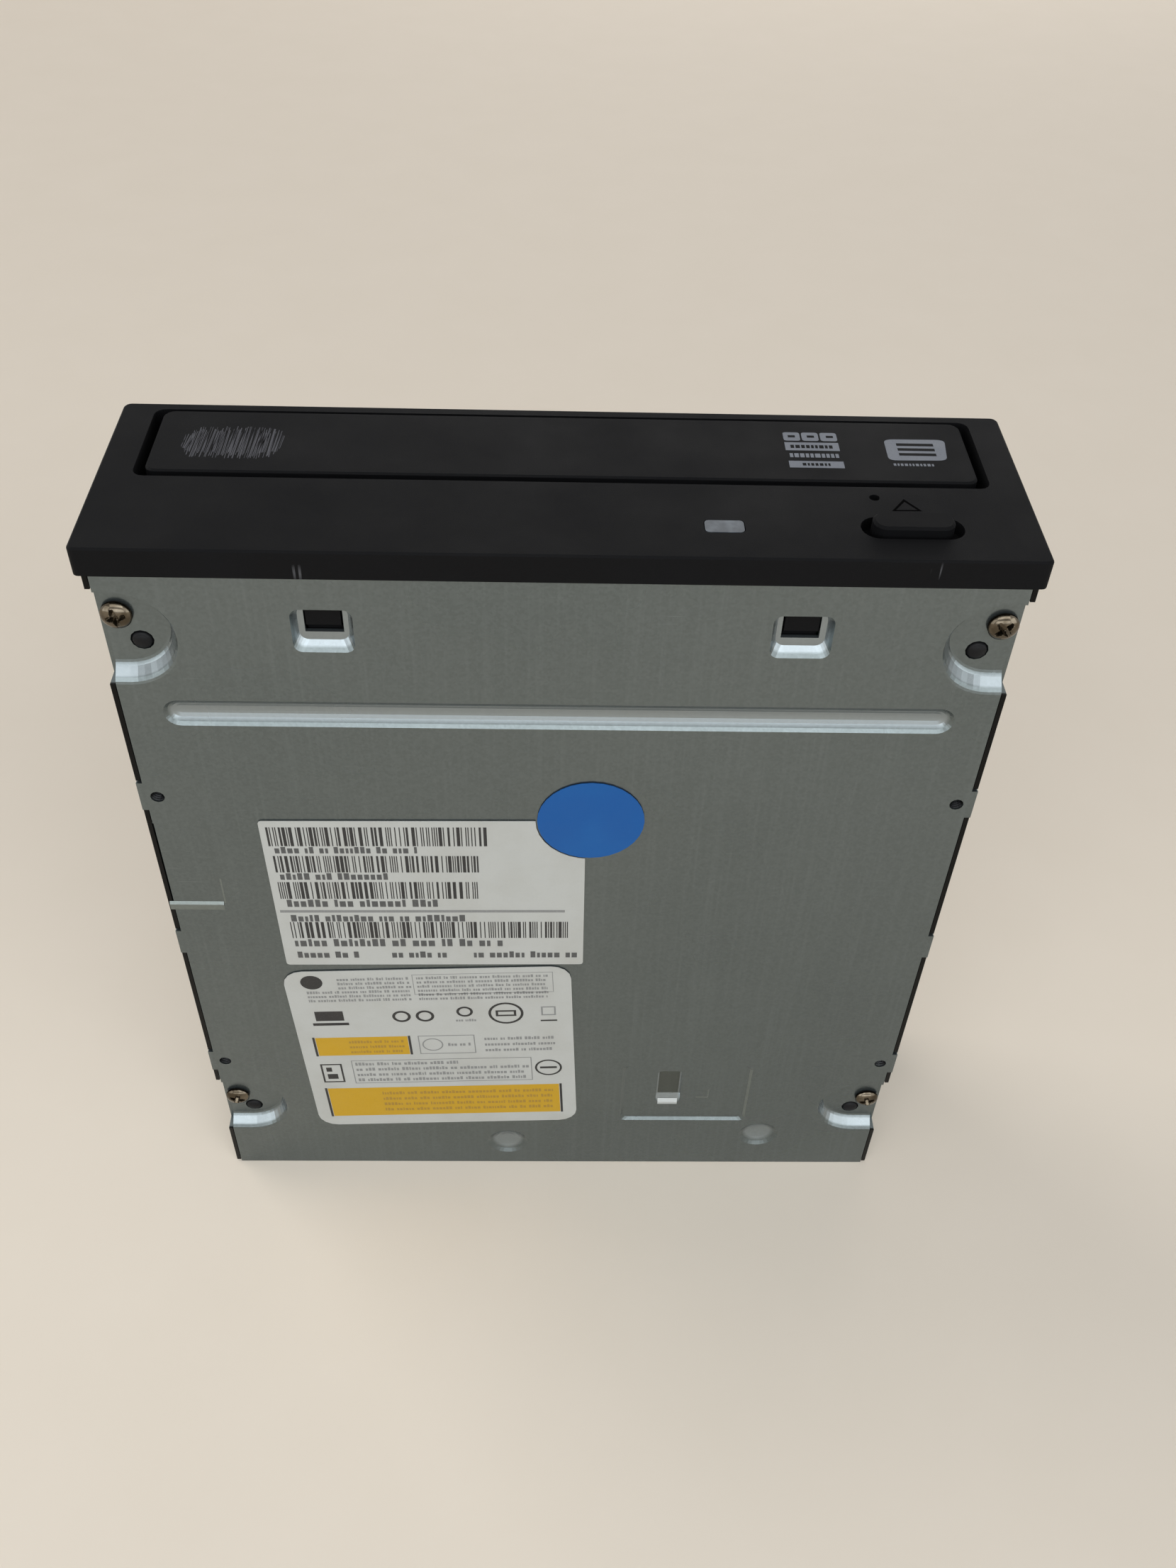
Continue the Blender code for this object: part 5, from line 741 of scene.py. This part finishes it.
def case_screw(index, across, up):
    """A pan head screw with a cross recess, cut as one surface whose depth follows the recess."""
    shapes = Shapes()
    top, seat, radius = 0.8, 2.2, 2.5
    dome_drop = 1.3
    recess_floor = top + 1.25
    wing_width, wing_length, pit_radius = 0.3, 0.95, 0.62
    rings, steps = 34, 96
    turn = math.radians(12.0 + 31.0 * index)

    def height(x, y):
        reach = math.hypot(x, y) / radius
        dome = top + dome_drop * (1.0 - math.sqrt(1.0 - (0.97 * reach) ** 2))
        a = abs(x * math.cos(turn) + y * math.sin(turn))
        b = abs(-x * math.sin(turn) + y * math.cos(turn))
        long, short = max(a, b), min(a, b)
        wall = max(0.0, short - wing_width) * 5.0 + max(0.0, long - wing_length) * 1.3
        recess = recess_floor - wall
        if math.hypot(x, y) < pit_radius:
            recess = recess_floor
        return min(max(dome, recess), seat)

    shapes.points.append(at(across, height(0.0, 0.0), up))
    for ring in range(1, rings + 1):
        reach = radius * ring / rings
        for step in range(steps):
            angle = 2.0 * math.pi * step / steps
            x, y = reach * math.cos(angle), reach * math.sin(angle)
            shapes.points.append(at(across + x, height(x, y), up + y))
    for step in range(steps):
        after = (step + 1) % steps
        shapes.faces.append((0, 1 + after, 1 + step))
        for ring in range(rings - 1):
            low = 1 + ring * steps
            high = low + steps
            shapes.faces.append((low + step, low + after, high + after, high + step))
    rim = [(radius, seat - 0.02), (radius, seat), (1.1, seat), (1.1, 10.9), (0.4, 11.0)]
    shapes.revolve(at(across, 0.0, up), (0.0, 1.0, 0.0), rim, 32)
    made = shapes.made(f"case_screw_{index + 1}", NICKEL, "case", "bright_metal")
    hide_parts(f"cover_screw_{index + 1}")


def hole_threads():
    """Thread ridges in the four tapped holes of the plate, each closed by a dark bottom, all in near-black
    steel: painted shade of the holes.
    """
    shapes = Shapes()
    root, crest = 1.245, 1.06
    profile = []
    for turn in range(5):
        start = 0.35 + turn * THREAD_PITCH
        profile += [(root, start), (crest, start + 0.22), (crest, start + 0.28), (root, start + THREAD_PITCH)]
    # Painted shade: the closed bottom stands for the dark inside of the hole.
    profile.append((0.05, 3.1))
    for across, up in TAPPED_HOLES:
        shapes.revolve(at(across, 0.0, up), (0.0, 1.0, 0.0), profile, 28)
    shapes.made("hole_threads", HOLE_SHADE_STEEL, "case", "steel_sheet")


def window_press():
    """The window in the stepped rectangle: a darker patch on its floor, painted shade of the recess, and a
    near-white patch on its lower lip, painted highlight of that slope.
    """
    # Painted shade: the floor patch is darker zinc for the shade in the window's recess.
    floor = Shapes()
    floor_depth = 1.385
    corners = ((22.8, 26.6), (27.3, 26.6), (27.3, 35.6), (22.8, 35.6))
    floor.patch([at(across, floor_depth, up) for across, up in corners])
    floor.made("window_floor", SHADED_STEEL, "case", "steel_sheet")
    # Painted highlight: the lip patch is near-white zinc for the bright light on the lower slope.
    lip = Shapes()
    rows = ((23.4, 0.48), (24.1, 0.49), (25.1, 0.86))
    for (up, depth), (next_up, next_depth) in zip(rows, rows[1:]):
        low = [at(across, depth, up) for across in (22.9, 27.2)]
        high = [at(across, next_depth, next_up) for across in (27.2, 22.9)]
        lip.patch(low + high)
    lip.made("window_lip", LIP_HIGHLIGHT_STEEL, "case", "steel_sheet")


def slope_sheen_and_lines():
    """Paler marks on the plate: painted highlight on the side dish's edges and on the step's slope, and a
    paler L-shaped line in the step's corner.
    """
    marks = Shapes()
    # The side dish's strips are painted highlight; the step's two strips are a paler L line.
    strips = (
        (PLATE_MARK_DEPTH, -72.7, 89.2, -62.6, 90.6),
        (PLATE_MARK_DEPTH, -62.4, 91.2, -62.1, 98.0),
        (STEP_MARK_DEPTH, 31.2, 25.9, 34.0, 26.35),
        (STEP_MARK_DEPTH, 33.75, 26.35, 34.0, 29.2),
    )
    for depth, left, low, right, high in strips:
        corners = ((left, low), (right, low), (right, high), (left, high))
        marks.patch([at(across, depth, up) for across, up in corners])
    # Painted highlight on the sloping faces of the dish's edge and of the step.
    dish_edge = (
        (-72.7, PLATE_MARK_DEPTH, 90.6),
        (-62.6, PLATE_MARK_DEPTH, 90.6),
        (-62.6, 0.33, 91.2),
        (-72.7, 0.33, 91.2),
    )
    step_slope = ((42.2, 0.41, 18.4), (42.75, 0.02, 18.2), (42.75, 0.02, 38.0), (42.2, 0.41, 38.0))
    for corners in (dish_edge, step_slope):
        marks.patch([at(*corner) for corner in corners])
    marks.made("slope_sheen_and_lines", SHEEN_AND_PALE_LINE_STEEL, "case", "steel_sheet")


def threaded_screw():
    """The lead screw with its thread, in place of the plain rod."""
    low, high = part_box("lead_screw")
    centre = Vector(((low[0] + high[0]) / 2, (low[1] + high[1]) / 2, 0.0))
    bottom, top = low[2] / MM, high[2] / MM
    shapes = Shapes()
    upward = (0.0, 0.0, 1.0)
    middle, journal, root, crest = 0.05, 0.9, 1.2, 1.5
    thick_low, thick_high = bottom + 2.4, top - 4.5
    low_end = [(middle, bottom), (journal, bottom), (journal, thick_low), (root, thick_low)]
    high_end = [(root, thick_high), (journal, thick_high), (journal, top), (middle, top)]
    shapes.revolve(centre, upward, low_end, 20)
    shapes.revolve(centre, upward, high_end, 20)
    steps = 24
    rounds = int((thick_high - thick_low) / LEAD_PITCH * steps)
    section = ((root, 0.0), (crest, 0.25), (crest, 0.75), (root, 1.0), (root, LEAD_PITCH))
    start = len(shapes.points)
    for step in range(rounds + 1):
        angle = 2.0 * math.pi * step / steps
        for radius, rise in section:
            up = min(thick_low + step * LEAD_PITCH / steps + rise - LEAD_PITCH / 2, thick_high)
            up = max(up, thick_low)
            ray = Vector((math.cos(angle), math.sin(angle), 0.0)) * radius * MM
            shapes.points.append(centre + ray + Vector((0.0, 0.0, up * MM)))
    wide = len(section)
    for step in range(rounds):
        for index in range(wide - 1):
            low_row = start + step * wide + index
            high_row = low_row + wide
            shapes.faces.append((low_row, low_row + 1, high_row + 1, high_row))
    made = shapes.made("lead_screw_thread", BRIGHT, "screw", "bright_metal")
    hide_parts("lead_screw")


def socket_contacts():
    """Gold contacts on the socket's two tongues: seven for data and fifteen for power."""
    low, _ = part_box("sata_socket")
    left, under = low[0] / MM, low[1] / MM + HALF_DEPTH
    tongue_face = under + SOCKET_HEIGHT / 2 - PLUG_SLOT / 2 + PLUG_SLOT * 0.3 + TONGUE_THICK
    spare = (SOCKET_WIDTH - DATA_PLUG[0] - POWER_PLUG[0]) / 3.0
    contacts = Shapes()
    starts = (left + spare, left + spare * 2 + DATA_PLUG[0])
    half_wide, sunk, proud, high_end = 0.3, 0.01, 0.09, 7.1
    for start, (width, count) in zip(starts, (DATA_PLUG, POWER_PLUG)):
        first = start + TONGUE_INSET
        pitch = (width - TONGUE_INSET * 2) / count
        for index in range(count):
            across = first + pitch * (index + 0.5)
            low_end = 1.5 if index % 3 else 1.9
            low_corner = at(across - half_wide, tongue_face + sunk, low_end)
            contacts.box(low_corner, at(across + half_wide, tongue_face + proud, high_end))
    contacts.made("socket_contacts", GOLD, "case", "bright_metal")


def turntable_detail():
    """The rubber ring that the disc sits on, and the hub's three sprung claws."""
    low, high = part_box("turntable")
    centre = Vector(((low[0] + high[0]) / 2, 0.0, (low[2] + high[2]) / 2))
    seat = DISC_SEAT - HALF_DEPTH
    ring = Shapes()
    inner, outer = 11.9, 14.4
    foot = seat - 0.3
    inside = [(inner, foot), (inner, seat - 0.02), (12.2, seat)]
    profile = inside + [(14.1, seat), (outer, seat - 0.03), (outer, foot)]
    ring.revolve(centre, (0.0, 1.0, 0.0), profile, 64)
    ring.made("turntable_ring", RUBBER, "spindle", "rubber")
    claws = Shapes()
    rows = ((7.35, 0.35), (7.5, 0.75), (7.2, 1.1), (5.6, 1.5))
    steps = 6
    for index in range(3):
        middle = math.radians(120.0 * index + 30.0)
        rays = []
        for step in range(steps + 1):
            angle = middle + math.radians(-14.0 + 28.0 * step / steps)
            rays.append(Vector((math.cos(angle), 0.0, math.sin(angle))))
        for first, second in zip(rays, rays[1:]):
            for low_row, high_row in zip(rows, rows[1:]):
                corners = []
                edges = ((first, low_row), (second, low_row), (second, high_row), (first, high_row))
                for ray, (radius, rise) in edges:
                    corners.append(centre + ray * radius * MM + Vector((0.0, (seat + rise) * MM, 0.0)))
                claws.patch(corners)
    claws.made("hub_claws", WHITE, "spindle", "white_plastic", smooth=True)


def pin_caps():
    """Smooth domed ends on the frame's four locating pins, which show in the corner pockets."""
    shapes = Shapes()
    for across, up in CASE_PINS:
        profile = []
        for step in range(8):
            angle = math.radians(90.0 * step / 7)
            profile.append((0.02 + 1.6 * math.sin(angle), 1.84 + 0.75 * (1.0 - math.cos(angle))))
        profile.append((1.62, 3.0))
        shapes.revolve(at(across, 0.0, up), (0.0, 1.0, 0.0), profile, 32)
    shapes.made("pin_caps", FRAME, "case", "black_plastic", smooth=True)


def main_details():
    for index, (across, up) in enumerate(CASE_SCREWS):
        case_screw(index, across, up)
    pin_caps()
    hole_threads()
    window_press()
    slope_sheen_and_lines()
    threaded_screw()
    socket_contacts()
    turntable_detail()


# Studio


FLOOR_REACH = 1.35
COOL_LIGHT = (0.92, 0.96, 1.0)
SIDE_LIGHT = (0.93, 0.97, 1.0)
WARM_LIGHT = (1.0, 0.98, 0.95)
BACKDROP = (0.90, 0.90, 0.90)
FOCAL_LENGTH = 33.202
CAMERA_PLACE = (-0.00259, -0.198705, 0.298858)
CAMERA_TURN = (45.41665, -1.58610, -0.79634)


def pale_floor():
    mesh = bpy.data.meshes.new("floor")
    low = cad_bounds[0][2] - 0.0001
    ends = ((-1, -1), (1, -1), (1, 1), (-1, 1))
    corners = [(across * FLOOR_REACH, along * FLOOR_REACH, low) for across, along in ends]
    mesh.from_pydata(corners, [], [(0, 1, 2, 3)])
    paint = Finish("pale_floor", tone(241, 228, 211), 0.75)
    paint.tint(paint.span(paint.noise(30.0), 0.3, 0.7, 0.0, 0.4), tone(237, 224, 206))
    mesh.materials.append(paint.material)
    floor = bpy.data.objects.new("floor", mesh)
    bpy.context.scene.collection.objects.link(floor)


def background(tree, colour, strength):
    shade = tree.nodes.new("ShaderNodeBackground")
    shade.inputs["Color"].default_value = (*colour, 1.0)
    shade.inputs["Strength"].default_value = strength
    return shade.outputs["Background"]


def studio_world():
    """A dim soft sky for the light, and a pale backdrop where it is seen, mirrored or seen through."""
    world = bpy.data.worlds.new("studio")
    bpy.context.scene.world = world
    world.use_nodes = True
    tree = world.node_tree
    tree.nodes.clear()
    out = tree.nodes.new("ShaderNodeOutputWorld")
    path = tree.nodes.new("ShaderNodeLightPath")
    seen = path.outputs["Is Camera Ray"]
    for ray in ("Is Glossy Ray", "Is Transmission Ray"):
        either = tree.nodes.new("ShaderNodeMath")
        either.operation = "MAXIMUM"
        tree.links.new(seen, either.inputs[0])
        tree.links.new(path.outputs[ray], either.inputs[1])
        seen = either.outputs["Value"]
    mix = tree.nodes.new("ShaderNodeMixShader")
    tree.links.new(seen, mix.inputs["Fac"])
    tree.links.new(background(tree, COOL_LIGHT, 0.2), mix.inputs[1])
    tree.links.new(background(tree, BACKDROP, 1.0), mix.inputs[2])
    tree.links.new(mix.outputs["Shader"], out.inputs["Surface"])


def lamp(name, place, size, power, colour):
    """A rectangular lamp that points at the drive and isn't seen itself."""
    light = bpy.data.lights.new(name, "AREA")
    light.shape = "RECTANGLE"
    light.size, light.size_y = size
    light.energy = power
    light.color = colour
    made = bpy.data.objects.new(name, light)
    made.location = place
    aim = Vector((0.0, 0.0, 0.09)) - Vector(place)
    made.rotation_euler = aim.to_track_quat("-Z", "Y").to_euler()
    made.visible_camera = False
    bpy.context.scene.collection.objects.link(made)


def lights():
    lamp("key_light", (0.05, -0.92, 1.04), (1.8, 0.6), 10.5, COOL_LIGHT)
    lamp("front_light", (0.065, -1.885, 0.35), (2.34, 0.57), 10.1, COOL_LIGHT)
    lamp("left_light", (-1.15, -0.80, 0.42), (0.9, 0.8), 4.0, SIDE_LIGHT)
    lamp("right_light", (1.15, -0.80, 0.42), (0.9, 0.8), 4.0, SIDE_LIGHT)
    lamp("back_light", (-1.9, 1.1, 1.7), (1.6, 1.6), 22.0, WARM_LIGHT)
    lamp("rear_light", (0.35, 1.5, 0.4), (1.2, 0.5), 4.0, WARM_LIGHT)


def camera():
    lens = bpy.data.cameras.new("camera")
    lens.lens = FOCAL_LENGTH
    lens.sensor_fit = "AUTO"
    lens.sensor_width = 36.0
    lens.clip_start = 0.01
    lens.clip_end = 20.0
    made = bpy.data.objects.new("camera", lens)
    made.location = CAMERA_PLACE
    made.rotation_euler = [math.radians(angle) for angle in CAMERA_TURN]
    bpy.context.scene.collection.objects.link(made)
    bpy.context.scene.camera = made


bpy.context.scene.view_settings.view_transform = "Standard"
camera()
lights()
pale_floor()
studio_world()
dress_nodes()
upper_label_print()
lower_label_print()
door_marks()
eject_mark()
main_details()
